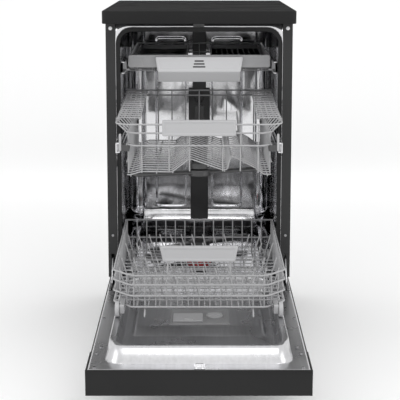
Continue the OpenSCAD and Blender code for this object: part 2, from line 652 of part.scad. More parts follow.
wheel_y = [lower_y0 + 6, lower_y1 - 28];
wheel_w = 9;
wheel_in = rim_x - inside - lattice_d / 2 - gap - wheel_w;
axle_d = 8;
tine_x = [for (x = [-lower_floor_x : 26 : lower_floor_x + 4]) x];
tine_y = [-290, -205, -70, 15];
module lower_rack_floor() color([0.8, 0.81, 0.82]) in_frame() {
  for (x = spread(-lower_floor_x, lower_floor_x, 14)) wire([x, lower_y0 + 8, lower_floor_z], [x, lower_y1 - 6, lower_floor_z], lattice_d);
  // the cross wires reach the side rims, but stop at the brackets where they would meet a wheel
  for (y = spread(lower_y0 + 50, lower_y1 - 12, 15)) {
    half = min([for (w = wheel_y) abs(y - w)]) < wheel_d / 2 + lattice_d ? wheel_in - 5 : rim_x - 1;
    wire([-half, y, lower_floor_z + lattice_d - weld], [half, y, lower_floor_z + lattice_d - weld], lattice_d);
  }
  for (x = [70 - rack_half, rack_half - 70]) from_side(x - rim_d / 2, x + rim_d / 2)
    bent_bar([[lower_y0 + 60, lower_floor_z - 0.4], [lower_y0 + 14, lower_floor_z - 0.4],
              [lower_y0 + 3, lower_floor_z - 4], [lower_y0 - 13, ledge_z + 4.6]], rim_d);
  both_sides() for (y = wheel_y) {
    back = y == wheel_y[0] ? 46 : 18;
    block([wheel_in - 11, wheel_in - gap], [y - 12, y + back], [wheel_z - 8, lower_floor_z + 8]);
    translate([0, y, wheel_z]) lying_x(axle_d, wheel_in - 2, wheel_in + wheel_w);
  }
}

module wheel(s, y) translate([s > 0 ? 0 : -2 * wheel_in - wheel_w, y, wheel_z]) difference() {
  lying_x(wheel_d, wheel_in, wheel_in + wheel_w);
  lying_x(axle_d + 2 * run_clear, wheel_in - 1, wheel_in + wheel_w + 1);
  for (side = [wheel_in - 1, wheel_in + wheel_w - 2]) difference() {
    lying_x(wheel_d - 6, side, side + 3);
    lying_x(axle_d + 5, side - 1, side + 4);
  }
}
module lower_wheel_front_left() color([0.6, 0.61, 0.63]) in_frame() wheel(-1, wheel_y[0]);
module lower_wheel_front_right() color([0.6, 0.61, 0.63]) in_frame() wheel(1, wheel_y[0]);
module lower_wheel_back_left() color([0.6, 0.61, 0.63]) in_frame() wheel(-1, wheel_y[1]);
module lower_wheel_back_right() color([0.6, 0.61, 0.63]) in_frame() wheel(1, wheel_y[1]);

// Plate holders: each row leans to the left, and its last tines lean to the right
module lower_rack_tines() color([0.8, 0.81, 0.82]) in_frame() for (y = tine_y) {
  base = lower_floor_z + 2 * (lattice_d - weld);
  wire([tine_x[0] - 6, y, base], [tine_x[len(tine_x) - 1] + 6, y, base], lattice_d);
  for (x = tine_x) {
    slant = x > rack_half - 90 ? 18 : -18;
    wire([x, y + lattice_d - weld, base - 1], [x + slant, y + lattice_d - weld, base + 62], lattice_d);
  }
}

module rack_handle(half_top, half_foot, y, z) from_front(y[0], y[1])
  polygon([[-half_foot, z[0]], [half_foot, z[0]], [half_top, z[1]], [-half_top, z[1]]]);
module lower_rack_handle() color([0.72, 0.73, 0.75]) in_frame() difference() {
  rack_handle(82, 76, [lower_y0 - 5, lower_y0 + 5], handle_z);
  for (s = [-1, 1]) wire([s * handle_post_x, lower_y0, handle_z[0] - 3], [s * handle_post_x, lower_y0, handle_z[0] + 12], rim_d);
}

// ---- middle rack ----

mid_back_rim = mid_rim + 23;
mid_floor_z = mid_rim - 113;
mid_wall_x = rack_half - 25;
mid_front_rims = [mid_rim, mid_rim - 19, mid_rim - 47];
mid_handle_z = [mid_rim - 25, mid_rim + 10];
// The floor's cross wires, from left to right: [x, height above the lowest wire]
mid_fold = [[-mid_wall_x, 0], [9 - mid_wall_x, 0], [33 - mid_wall_x, 7], [-60, 6], [-20, 36], [51, 11], [62, 11], [70, 44],
            [mid_wall_x - 33, 14], [mid_wall_x - 17, 1], [mid_wall_x, 1]];
function mid_slope(y) = mid_rim + (mid_back_rim - mid_rim) * (y - mid_y0) / (mid_y1 - mid_y0);

module mid_rack_ends() color([0.8, 0.81, 0.82]) in_frame() {
  front = mid_y0 + rim_d / 2;
  for (z = mid_front_rims) {
    half = z == mid_rim ? rim_x : mid_wall_x + 1;
    level_wire([[-half, front + 22], [20 - half, front], [half - 20, front], [half, front + 22]], rim_d, z);
  }
  for (x = [34 - mid_wall_x, -66, -21, 52, 91, mid_wall_x - 30])
    wire([x, mid_y0 + rim_d / 2 + inside, mid_floor_z + (abs(x) > 100 ? 4 : 8)], [x, mid_y0 + rim_d / 2 + inside, mid_rim + 1], lattice_d);
  for (dz = [0, 13]) wire([-rim_x, mid_y1 - rim_d / 2, mid_back_rim - dz], [rim_x, mid_y1 - rim_d / 2, mid_back_rim - dz], rim_d);
  for (x = spread(20 - mid_wall_x, mid_wall_x - 20, 9))
    wire([x, mid_y1 - rim_d / 2 - inside, mid_floor_z + 3], [x, mid_y1 - rim_d / 2 - inside, mid_back_rim + 1], lattice_d);
}

module mid_rack_sides() color([0.8, 0.81, 0.82]) in_frame() both_sides() {
  wire([rim_x, mid_y0 + 24, mid_slope(mid_y0 + 24)], [rim_x, mid_y1 - rim_d, mid_slope(mid_y1 - rim_d)], rim_d);
  for (z = [mid_rim - 47, mid_rim - 85]) wire([mid_wall_x, mid_y0 + 14, z], [mid_wall_x, mid_y1 - rim_d / 2, z], lattice_d);
  // lugs that hold the ends of the cup shelf's pivot wire
  for (y = [shelf_y[0] - 6, shelf_y[1] + 6]) difference() {
    block([shelf_x[1] - 4, rim_x + 1], [y - 2, y + 2], [mid_slope(y) - 2, mid_slope(y) + shelf_rise + 4]);
    translate([shelf_x[1], 0, mid_slope(y) + shelf_rise]) lying_y(lattice_d / cos(180 / wire_sides) + 2 * gap, y - 4, y + 4);
  }
  for (y = spread(mid_y0 + 32, mid_y1 - 20, 13)) 
    standing_wire([[mid_wall_x - 2.4, mid_floor_z - 1], [mid_wall_x - 2.4, mid_rim - 24], [rim_x - 0.8, mid_slope(y) - 1.5]], lattice_d, y);
}

tine_pivot = [98, mid_floor_z + 36];
tine_fold_y = [mid_y0 + 50, mid_y1 - 70];
module mid_rack_floor() color([0.8, 0.81, 0.82]) in_frame() {
  // lugs that hold the ends of the folding row's pivot wire
  for (y = [tine_fold_y[0] - 6, tine_fold_y[1] + 6]) difference() {
    block([tine_pivot[0] - 4, tine_pivot[0] + 4], [y - 2, y + 2], [mid_floor_z + 25, tine_pivot[1] + 4]);
    translate([tine_pivot[0], 0, tine_pivot[1]]) lying_y(lattice_d / cos(180 / wire_sides) + 2 * gap, y - 4, y + 4);
  }
  for (y = spread(mid_y0 + 10, mid_y1 - 8, 16)) standing_wire([for (p = mid_fold) [p[0], mid_floor_z + p[1]]], lattice_d, y);
  for (x = [9 - mid_wall_x, -94, -58, -20, 20, 56, 70, tine_pivot[0], mid_wall_x - 33, mid_wall_x - 9]) {
    z = mid_floor_z + lookup(x, mid_fold) - lattice_d + weld;
    wire([x, mid_y0 + 4, z], [x, mid_y1 - 2, z], lattice_d);
  }
}

module mid_rack_tines() color([0.8, 0.81, 0.82]) in_frame() {
  wire([tine_pivot[0], tine_fold_y[0] - 9, tine_pivot[1]], [tine_pivot[0], tine_fold_y[1] + 9, tine_pivot[1]], lattice_d);
  for (y = spread(tine_fold_y[0] + 8, tine_fold_y[1] - 8, 12))
    wire([tine_pivot[0], y, tine_pivot[1]], [tine_pivot[0] - 4, y, tine_pivot[1] + 56], lattice_d);
}

module mid_rack_handle() color([0.72, 0.73, 0.75]) in_frame() difference() {
  rack_handle(81, 81, [mid_y0 - 5, mid_y0 + rim_d / 2 + 4], mid_handle_z);
  for (z = mid_front_rims) wire([-90, mid_y0 + rim_d / 2, z], [90, mid_y0 + rim_d / 2, z], rim_d);
  for (x = [-66, -21, 52]) wire([x, mid_y0 + rim_d / 2 + inside, mid_rim - 40], [x, mid_y0 + rim_d / 2 + inside, mid_rim + 1], lattice_d);
}

module mid_sliders() color([0.7, 0.71, 0.72]) in_frame() both_sides() {
  block(slider_x, [mid_y0 + 8, mid_y1 - 10], [rail_mid_z - 11.5, rail_mid_z + 11.5]);
  for (y = [mid_y0 + 10, mid_y1 - 60]) block([mid_wall_x - 6, slider_x[0] + 1], [y, y + 34], [rail_mid_z - 9, rail_mid_z + 9]);
}

feed_z = mid_floor_z - 22;
mid_hub_y = (mid_y0 + mid_y1) / 2;
mid_arm_z = feed_z - 17;
module mid_water_feed() color([0.24, 0.25, 0.27]) in_frame() {
  block([-11, 11], [mid_hub_y, mid_y1 + 12], [feed_z - 2, feed_z + 14]);
  block([-11, 11], [mid_y1, mid_y1 + 12], [feed_z, dock_z + 14]);
  block([-23, -17], [mid_hub_y - 9, mid_hub_y + 9], [feed_z, mid_floor_z + 35]);
  translate([0, 0, dock_z]) lying_y(20, mid_y1 + 11, mid_y1 + 15);
  translate([0, mid_hub_y, feed_z - 2]) cylinder(d = 50, h = 12);
  translate([0, mid_hub_y, mid_arm_z - 4]) cylinder(d = 20, h = 20);
  translate([0, mid_hub_y, mid_arm_z - 6]) cylinder(d = 28, h = 2.6);
}
module mid_spray_arm() color([0.22, 0.23, 0.25]) in_frame()
  translate([0, mid_hub_y, 0]) rotate(14) spray_arm(mid_arm_len, mid_arm_z, 20 + 2 * run_clear);

// A cup shelf: a lattice that hinges on the side rim
shelf_x = [rack_half - 54, rack_half - 6];
shelf_y = [mid_y0 + 34, mid_y1 - 44];
shelf_rise = 6;
module cup_shelf() {
  rise = shelf_rise;
  for (x = spread(shelf_x[0], shelf_x[1], 5)) {
    ends = x == shelf_x[1] ? shelf_y + [-9, 9] : shelf_y;
    wire([x, ends[0], mid_slope(ends[0]) + rise], [x, ends[1], mid_slope(ends[1]) + rise], lattice_d);
  }
  for (y = spread(shelf_y[0] + 4, shelf_y[1] - 4, 16))
    wire([shelf_x[0] - 2, y, mid_slope(y) + rise + lattice_d - weld], [shelf_x[1] + 1, y, mid_slope(y) + rise + lattice_d - weld], lattice_d);
}
module cup_shelf_left() color([0.8, 0.81, 0.82]) in_frame() mirror([1, 0, 0]) cup_shelf();
module cup_shelf_right() color([0.8, 0.81, 0.82]) in_frame() cup_shelf();

// ---- cutlery rack ----

third_half = rack_half - third_inset;
third_floor = third_top - 39;
module third_rack_frame() color([0.76, 0.77, 0.79]) in_frame() {
  block([-third_half, third_half], [third_front, third_front + 6], [third_top - 31, third_top]);
  both_sides() {
    wire([third_half - 2, third_front + 4, third_top - 3], [third_half - 2, third_y1 - 2, third_top - 3], rim_d);
    wire([third_half - 2, third_front + 4, third_floor + 12], [third_half - 2, third_y1 - 2, third_floor + 12], rim_d);
    for (y = spread(third_front + 30, third_y1 - 20, 10))
      wire([third_half - 2 - inside, y, third_floor], [third_half - 2 - inside, y, third_top - 2], lattice_d);
    block([third_half - 3, slider_x[1]], [third_front + 6, third_y1 - 10], [rail_third_z - 11.5, rail_third_z - 7]);
    block([slider_x[0], slider_x[1]], [third_front + 6, third_y1 - 10], [rail_third_z - 11.5, rail_third_z + 11.5]);
  }
  for (z = [third_top - 3, third_floor + 12]) wire([-third_half, third_y1 - 2, z], [third_half, third_y1 - 2, z], rim_d);
  for (x = spread(21.5 - third_half, third_half - 21.5, 9)) {
    wire([x, third_front + 2, third_floor + 14], [x, third_front + 14, third_floor + 2], lattice_d);
    wire([x, third_front + 13, third_floor + 1.5], [x, third_y1 - 2, third_floor + 1.5], lattice_d);
    wire([x, third_y1 - 2 - inside, third_floor], [x, third_y1 - 2 - inside, third_top - 2], lattice_d);
  }
  for (y = spread(third_front + 30, third_y1 - 20, 10))
    wire([-third_half + 2, y, third_floor + 1.5 - lattice_d + weld], [third_half - 2, y, third_floor + 1.5 - lattice_d + weld], lattice_d);
}

module third_rack_handle() color([0.72, 0.73, 0.75]) in_frame() {
  rack_handle(106, 100, [third_front - 9, third_front], [third_top - 41, third_top - 4]);
  from_side(-99, 99) polygon([[third_front - 9, third_top - 41.5], [third_front - 3, third_top - 65],
                              [third_front - 1, third_top - 65], [third_front - 2, third_top - 40], [third_front - 2, third_top - 38], [third_front - 9, third_top - 38]]);
}

insert_x = [30, third_half - 11.5];
insert_y = [third_front + 24, third_y1 - 24];
module insert(fins) {
  z = third_floor + 3.4 + gap;
  difference() {
    block(insert_x, insert_y, [z, z + 30]);
    block(insert_x + [2, -2], insert_y + [2, -2], [z + 2, z + 31]);
  }
  for (y = spread(insert_y[0] + 24, insert_y[1] - 24, fins)) block(insert_x + [1, -1], [y - 1, y + 1], [z + 1, z + 22]);
}
module third_insert_left() color([0.30, 0.31, 0.33]) in_frame() mirror([1, 0, 0]) insert(5);
module third_insert_right() color([0.30, 0.31, 0.33]) in_frame() insert(14);

worktop();
side_panel_left();
side_panel_right();
back_panel();
base_pan();
kick_plate();
tub();
door_seal();
door_lock();
water_duct();
sump();
filter_plate();
circulation_pump();
drain_pump();
inlet_valve();
softener();
feet();
flange_plugs();
flange_screws();
rack_rails();
hinge_brackets();
cable_gland();
filter_handle();
salt_cap();
lower_spray_arm();
door_outer_panel();
door_inner_liner();
control_fascia();
control_board();
dispenser();
dispenser_lid();
rinse_aid_cap();
door_strike();
hinge_arms();
rim_screws();
power_button();
start_button();
lower_rack_ends();
lower_rack_sides();
lower_rack_floor();
lower_rack_tines();
lower_rack_handle();
lower_wheel_front_left();
lower_wheel_front_right();
lower_wheel_back_left();
lower_wheel_back_right();
mid_rack_ends();
mid_rack_sides();
mid_rack_floor();
mid_rack_tines();
mid_rack_handle();
mid_sliders();
mid_water_feed();
mid_spray_arm();
cup_shelf_left();
cup_shelf_right();
third_rack_frame();
third_rack_handle();
third_insert_left();
third_insert_right();
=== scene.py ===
# %% [markdown]
# # A slimline dishwasher, open and with its racks drawn out
# The machine stands on a pale floor with its door lying open, the lower rack rolled out over the
# door, the middle rack half out and the cutlery rack under the worktop. The CAD model fixes every
# size and every moving body. This script gives the machine its looks: round wires in place of
# straight-sided bars, pressed steel with soft bends, moulded plastic with rounded edges, and a
# finish for each material.

# %% Load the frame, with helpers for boxes, bodies and hidden parts
import json

import bmesh
import bpy
import numpy as np
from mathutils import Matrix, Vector


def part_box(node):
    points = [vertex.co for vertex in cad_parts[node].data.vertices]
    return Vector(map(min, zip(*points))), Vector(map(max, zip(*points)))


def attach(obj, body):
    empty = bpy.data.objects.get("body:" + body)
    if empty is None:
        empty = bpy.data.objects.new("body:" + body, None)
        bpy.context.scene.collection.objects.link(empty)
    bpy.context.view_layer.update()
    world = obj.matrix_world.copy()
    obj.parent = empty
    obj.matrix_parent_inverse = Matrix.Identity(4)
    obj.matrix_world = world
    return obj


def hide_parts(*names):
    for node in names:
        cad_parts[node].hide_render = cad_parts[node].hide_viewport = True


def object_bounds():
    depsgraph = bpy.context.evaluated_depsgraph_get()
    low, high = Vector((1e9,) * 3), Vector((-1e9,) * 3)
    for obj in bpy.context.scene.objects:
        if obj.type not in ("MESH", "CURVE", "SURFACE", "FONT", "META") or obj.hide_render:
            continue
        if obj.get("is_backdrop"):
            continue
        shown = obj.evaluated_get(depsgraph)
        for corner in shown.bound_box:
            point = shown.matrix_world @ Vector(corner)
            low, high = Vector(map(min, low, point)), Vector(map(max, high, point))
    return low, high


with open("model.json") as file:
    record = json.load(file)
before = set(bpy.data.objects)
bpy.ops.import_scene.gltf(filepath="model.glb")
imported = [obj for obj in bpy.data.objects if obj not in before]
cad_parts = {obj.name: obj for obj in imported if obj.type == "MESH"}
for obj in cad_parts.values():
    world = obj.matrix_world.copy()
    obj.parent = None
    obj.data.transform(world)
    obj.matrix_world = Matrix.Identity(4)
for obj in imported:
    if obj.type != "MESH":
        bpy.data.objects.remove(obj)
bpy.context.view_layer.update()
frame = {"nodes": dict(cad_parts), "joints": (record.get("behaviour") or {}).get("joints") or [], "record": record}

# %% [markdown]
# ## Working in the machine's own millimetres
# Every piece below is drawn the way a fitter measures the machine: in millimetres, across from the
# middle, back from the cabinet's front plane and up from the floor. One function turns that into
# metres in the shared frame. The door is drawn lying level from its hinge axis and then leans by
# the small angle that the record gives for the sliding lid.

# %% Millimetres to the frame
MM = 0.001
FRONT_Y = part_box("side_panel_left")[0].y
JOINTS = {j["name"]: j for j in frame["joints"]}
HINGE = np.array(JOINTS["door_hinge"]["pos_m"]) / MM - (0, FRONT_Y / MM, 0)
_, lid_y, lid_z = JOINTS["dispenser_lid_slide"]["axis"]
LEAN = np.arctan2(lid_z, lid_y)


def to_frame(points):
    """Millimetres from the cabinet's front plane become metres: p / 1000 + (0, front, 0)."""
    return np.asarray(points, float) * MM + (0, FRONT_Y, 0)


def box_mm(node):
    """The lowest and highest corners of a CAD node in the machine's millimetres."""
    return [(np.array(corner) - (0, FRONT_Y, 0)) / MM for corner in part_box(node)]


def on_door(points):
    """Turns door points by the lean: y' = y cos - z sin and z' = y sin + z cos, then adds the hinge."""
    x, y, z = np.moveaxis(np.asarray(points, float), -1, 0)
    c, s = np.cos(LEAN), np.sin(LEAN)
    return np.stack([x, y * c - z * s, y * s + z * c], -1) + HINGE


print("front plane at y =", round(FRONT_Y, 4), "m; hinge", HINGE.round(1), "mm")

# %% [markdown]
# ## Camera, floor and light
# The camera stands nearly three metres in front of the machine at chest height and looks a little
# down, with a long lens, so that the side walls stay almost upright. A small shift finishes the
# framing. Strong lamps would burn hard spots into polished steel, so a white room does most of the
# work and large soft boxes only add a direction. One dark card stands upright behind the machine,
# where the camera doesn't see it, and gives the glossy surfaces something dark to mirror.

# %% Camera
LENS, SHIFT, TILT = 105.4, -0.12, 9.68
camera_data = bpy.data.cameras.new("camera")
camera_data.lens = LENS
camera_data.shift_y = SHIFT
camera = bpy.data.objects.new("camera", camera_data)
camera.location = (0.002, -2.758 + FRONT_Y, 0.983)
camera.rotation_euler = (np.radians(90 - TILT), 0, 0)
bpy.context.scene.collection.objects.link(camera)
bpy.context.scene.camera = camera
bpy.context.scene.view_settings.view_transform = "Standard"
print("camera", [round(v, 3) for v in camera.location], "lens", LENS)


# %% Floor, cards and lights
def card(name, centre, size, turn, colour, roughness=1.0, seen=True):
    """A flat stage card: the corners centre +- size / 2, turned by the angles in turn."""
    mesh = bpy.data.meshes.new(name)
    w, h = size[0] / 2, size[1] / 2
    mesh.from_pydata([(-w, -h, 0), (w, -h, 0), (w, h, 0), (-w, h, 0)], [], [(0, 1, 2, 3)])
    material = bpy.data.materials.new(name)
    material.use_nodes = True
    shader = material.node_tree.nodes["Principled BSDF"]
    shader.inputs["Base Color"].default_value = (*colour, 1)
    shader.inputs["Roughness"].default_value = roughness
    mesh.materials.append(material)
    made = bpy.data.objects.new(name, mesh)
    made.location = centre
    made.rotation_euler = np.radians(turn)
    bpy.context.scene.collection.objects.link(made)
    made.visible_camera = seen
    made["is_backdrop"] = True


def softbox(name, at, aim, size, power):
    """A square area light at a point, turned so that its beam runs to aim."""
    data = bpy.data.lights.new(name, "AREA")
    data.shape, data.size, data.energy = "SQUARE", size, power
    data.specular_factor = 0.15
    light = bpy.data.objects.new(name, data)
    light.location = at
    light.rotation_euler = (Vector(aim) - Vector(at)).to_track_quat("-Z", "Y").to_euler()
    bpy.context.scene.collection.objects.link(light)


card("floor", (0, 0, 0), (60, 60), (0, 0, 0), (0.96, 0.96, 0.96), 0.8)
card("dark_card_back", (0, 2.2, 1.75), (2.2, 1.5), (90, 0, 0), (0.01, 0.01, 0.01), seen=False)
world = bpy.data.worlds.new("white_room")
world.use_nodes = True
world.node_tree.nodes["Background"].inputs["Color"].default_value = (1, 1, 1, 1)
world.node_tree.nodes["Background"].inputs["Strength"].default_value = 1.05
bpy.context.scene.world = world
softbox("softbox_top", (0.2, -1.4, 2.4), (0, 0, 0.4), 1.4, 12)
softbox("softbox_left", (-1.8, -1.2, 1.3), (0, -0.2, 0.4), 1.0, 6)
softbox("softbox_right", (1.8, -1.4, 1.1), (0, -0.2, 0.4), 1.0, 5)
print("stage set")

# %% [markdown]
# ## Shared effects
# A surface looks real through what changes over it. Four effects serve all the finishes: a fine
# grain, the long scratches of brushed steel, the pebbled skin of moulded plastic and laminate, and
# the faint smudges that hands and water leave. They could be drawn into each material, but then
# one change would have to be made many times. So each is a shader node group, built once and placed
# in each material with its own values. A group gives out only heights and masks; the shader stays
# in the material.


# %% Node group helpers
def group(name, scale):
    """A shader group that takes a scale and a stretch and gives a height and a mask, and its two end nodes."""
    tree = bpy.data.node_groups.new(name, "ShaderNodeTree")
    new = tree.interface.new_socket
    new("Scale", in_out="INPUT", socket_type="NodeSocketFloat").default_value = scale
    new("Stretch", in_out="INPUT", socket_type="NodeSocketVector").default_value = (1.0, 1.0, 1.0)
    new("Height", in_out="OUTPUT", socket_type="NodeSocketFloat")
    new("Mask", in_out="OUTPUT", socket_type="NodeSocketFloat")
    return tree, tree.nodes.new("NodeGroupInput"), tree.nodes.new("NodeGroupOutput")


def add(tree, kind, links=(), **settings):
    """Adds a node, sets its properties or sockets by name, and links (from socket, to socket name)."""
    node = tree.nodes.new(kind)
    for key, value in settings.items():
        if hasattr(node, key):
            setattr(node, key, value)
        else:
            node.inputs[key.replace("_", " ")].default_value = value
    for source, label in links:
        tree.links.new(source, node.inputs[label])
    return node


def object_coords(tree, start):
    """The object's own coordinates, stretched along the axes by the group's stretch."""
    coords = add(tree, "ShaderNodeTexCoord")
    links = [(coords.outputs["Object"], "Vector"), (start.outputs["Stretch"], "Scale")]
    return add(tree, "ShaderNodeMapping", links).outputs["Vector"]


def noise(tree, start, scale_source, detail):
    """Noise read at the object's coordinates; gives its height socket."""
    links = [(object_coords(tree, start), "Vector"), (scale_source, "Scale")]
    return add(tree, "ShaderNodeTexNoise", links, Detail=detail).outputs["Fac"]


def close_group(tree, end, height, mask):
    """Joins a height and a mask to the group's outputs."""
    tree.links.new(height, end.inputs["Height"])
    tree.links.new(mask, end.inputs["Mask"])


print("node helpers ready")

# %% Grain, brushing, pebble and smudges
tree, start, end = group("Fine Grain", 400.0)
fine = noise(tree, start, start.outputs["Scale"], 6.0)
patches = add(tree, "ShaderNodeMapRange", [(fine, "Value")], From_Min=0.35, From_Max=0.65)
close_group(tree, end, fine, patches.outputs["Result"])

tree, start, end = group("Brushed Lines", 400.0)
scratches = noise(tree, start, start.outputs["Scale"], 3.0)
wider = add(tree, "ShaderNodeMath", [(start.outputs["Scale"], 0)], operation="MULTIPLY")
wider.inputs[1].default_value = 0.12
bands = noise(tree, start, wider.outputs[0], 2.0)
sheen = add(tree, "ShaderNodeMapRange", [(bands, "Value")], From_Min=0.3, From_Max=0.7)
close_group(tree, end, scratches, sheen.outputs["Result"])

tree, start, end = group("Pebbled Skin", 400.0)
cells = add(tree, "ShaderNodeTexVoronoi",
            [(object_coords(tree, start), "Vector"), (start.outputs["Scale"], "Scale")], feature="SMOOTH_F1")
pebbles = add(tree, "ShaderNodeMapRange", [(cells.outputs["Distance"], "Value")], From_Min=0.1, From_Max=0.7)
close_group(tree, end, cells.outputs["Distance"], pebbles.outputs["Result"])

tree, start, end = group("Smudges", 9.0)
broad = noise(tree, start, start.outputs["Scale"], 4.0)
soft = add(tree, "ShaderNodeMapRange", [(broad, "Value")], interpolation_type="SMOOTHSTEP",
           From_Min=0.42, From_Max=0.68)
close_group(tree, end, broad, soft.outputs["Result"])
print("effects:", [g.name for g in bpy.data.node_groups])


# %% [markdown]
# ## Finishes
# The machine is painted sheet, polished and brushed steel, nylon-dipped wire and moulded plastic.
# One flat colour per material would be simpler, but it looks like a drawing. So each finish shifts
# a little between two close tones, its roughness follows the smudges, and a bump reads the grain.
# Most carry the name of their slot in the record. Numbers that are the same all over are set on
# the shader's own sockets.


# %% Finish maker
MIX_A, MIX_B, MIX_RESULT = 6, 7, 2


def finish(name, tones, rough, effect="Fine Grain", scale=500.0, stretch=(1, 1, 1), bump=0.1, depth=0.0002,
           smudge=9.0, **sockets):
    """A Principled material: colour between two tones, roughness between two values, a bump from an effect."""
    material = bpy.data.materials.new(name)
    material.use_nodes = True
    tree = material.node_tree
    shader = tree.nodes["Principled BSDF"]
    skin = add(tree, "ShaderNodeGroup", node_tree=bpy.data.node_groups[effect])
    skin.inputs["Scale"].default_value = scale
    skin.inputs["Stretch"].default_value = stretch
    marks = add(tree, "ShaderNodeGroup", node_tree=bpy.data.node_groups["Smudges"])
    marks.inputs["Scale"].default_value = smudge
    colour = add(tree, "ShaderNodeMix", data_type="RGBA")
    colour.inputs[MIX_A].default_value = (*tones[0], 1)
    colour.inputs[MIX_B].default_value = (*tones[1], 1)
    tree.links.new(skin.outputs["Mask"], colour.inputs["Factor"])
    tree.links.new(colour.outputs[MIX_RESULT], shader.inputs["Base Color"])
    gloss = add(tree, "ShaderNodeMapRange", [(marks.outputs["Mask"], "Value")],
                To_Min=rough[0], To_Max=rough[1])
    tree.links.new(gloss.outputs["Result"], shader.inputs["Roughness"])
    relief = add(tree, "ShaderNodeBump", [(skin.outputs["Height"], "Height")], Strength=bump, Distance=depth)
    tree.links.new(relief.outputs["Normal"], shader.inputs["Normal"])
    for label, value in sockets.items():
        shader.inputs[label.replace("_", " ")].default_value = value
    return material


def pebbled(name, tones, rough, bump=0.12, scale=1500, **sockets):
    """A finish with the pebbled skin of a mould, a laminate or a coat of paint."""
    return finish(name, tones, rough, "Pebbled Skin", scale, bump=bump, depth=0.0001, **sockets)


def grey(a, b):
    """Two neutral tones, each with a trace of blue."""
    return (a, a, a * 1.02), (b, b, b * 1.02)


print("finish maker ready")

# %% Finishes
RED = (0.42, 0.008, 0.012), (0.52, 0.012, 0.018)
GREEN = (0.01, 0.09, 0.04), (0.02, 0.16, 0.07)
FINISH = {
    "black_board": pebbled("black_board", grey(0.009, 0.014), (0.5, 0.64), 0.3, 900, Specular_IOR_Level=0.16),
    "black_paint": pebbled("black_paint", grey(0.013, 0.017), (0.36, 0.48), 0.12, 700, Specular_IOR_Level=0.4),
    "steel": finish("steel", grey(0.66, 0.76), (0.07, 0.15), "Brushed Lines", 260, (1, 1, 0.1), 0.02, 0.00004,
                    11, Metallic=1.0),
    "brushed": finish("brushed_steel", grey(0.54, 0.6), (0.27, 0.36), "Brushed Lines", 1300, (1, 0.02, 1), 0.06,
                      0.00005, 7, Metallic=1.0),
    "zinc": finish("zinc", grey(0.3, 0.4), (0.25, 0.4), "Fine Grain", 700, bump=0.2, Metallic=1.0),
    "black_plastic": pebbled("black_plastic", grey(0.008, 0.011), (0.4, 0.55), 0.18, 1400,
                             Specular_IOR_Level=0.25),
    "insert": pebbled("insert_grey", grey(0.12, 0.15), (0.3, 0.42), 0.15),
    "dark_plastic": pebbled("dark_plastic", grey(0.045, 0.06), (0.3, 0.42), 0.15),
    "light_plastic": pebbled("light_plastic", grey(0.36, 0.42), (0.32, 0.45)),
    "white_plastic": pebbled("white_plastic", grey(0.68, 0.74), (0.3, 0.4)),
    "red_plastic": pebbled("red_plastic", RED, (0.28, 0.4)),
    "rubber": finish("rubber", grey(0.006, 0.009), (0.5, 0.65), "Fine Grain", 1200, bump=0.25, depth=0.0001,
                     Specular_IOR_Level=0.3),
    "wire_coat": finish("wire_coat", grey(0.3, 0.36), (0.2, 0.32), "Fine Grain", 900, bump=0.1, depth=0.0001,
                        Coat_Weight=0.2),
    "grip": pebbled("grip_light", grey(0.58, 0.62), (0.42, 0.54)),
    "dispenser": pebbled("dispenser_grey", grey(0.2, 0.25), (0.3, 0.4)),
    "handle_grey": pebbled("handle_grey", grey(0.37, 0.41), (0.42, 0.54)),
    "board_green": finish("board_green", GREEN, (0.2, 0.35), "Pebbled Skin", 300, bump=0.3),
    "galvanised": finish("galvanised", grey(0.36, 0.52), (0.35, 0.55), "Pebbled Skin", 90, bump=0.04,
                         Metallic=0.85),
}
SLOT_OF = {part["node"]: part["material_slot"] for part in frame["record"]["subparts"]}
BODY_OF = {node: body for body, nodes in frame["record"]["behaviour"]["bodies"].items() for node in nodes}
print("finishes:", sorted(FINISH))


# %% [markdown]
# ## Shapes as arrays
# Bent wire, pressed sheet and moulded plastic all have a simple rule behind their shape. They could
# be pushed into form by hand, but a rule is exact and easy to change. So every new piece is a grid
# of points: a function of two parameters worked out for the whole grid at once. The grid's
# neighbours become quads, points that fall together at a pole or a seam are merged, and closed
# shells get their faces turned outwards.


# %% From grids to meshes
MERGE, SLIVER = 2e-6, 1e-6


def grid(points, around=False, along=False):
    """(points, quads) of a grid of rows x columns. Each quad joins a point, its right neighbour and
    the two above; around closes the columns and along closes the rows."""
    rows, columns = points.shape[:2]
    r = np.arange(rows if along else rows - 1)[:, None]
    c = np.arange(columns if around else columns - 1)[None, :]
    up, right = (r + 1) % rows * columns, (c + 1) % columns
    quads = np.stack([r * columns + c, r * columns + right, up + right, up + c], -1).reshape(-1, 4)
    return points.reshape(-1, 3), quads


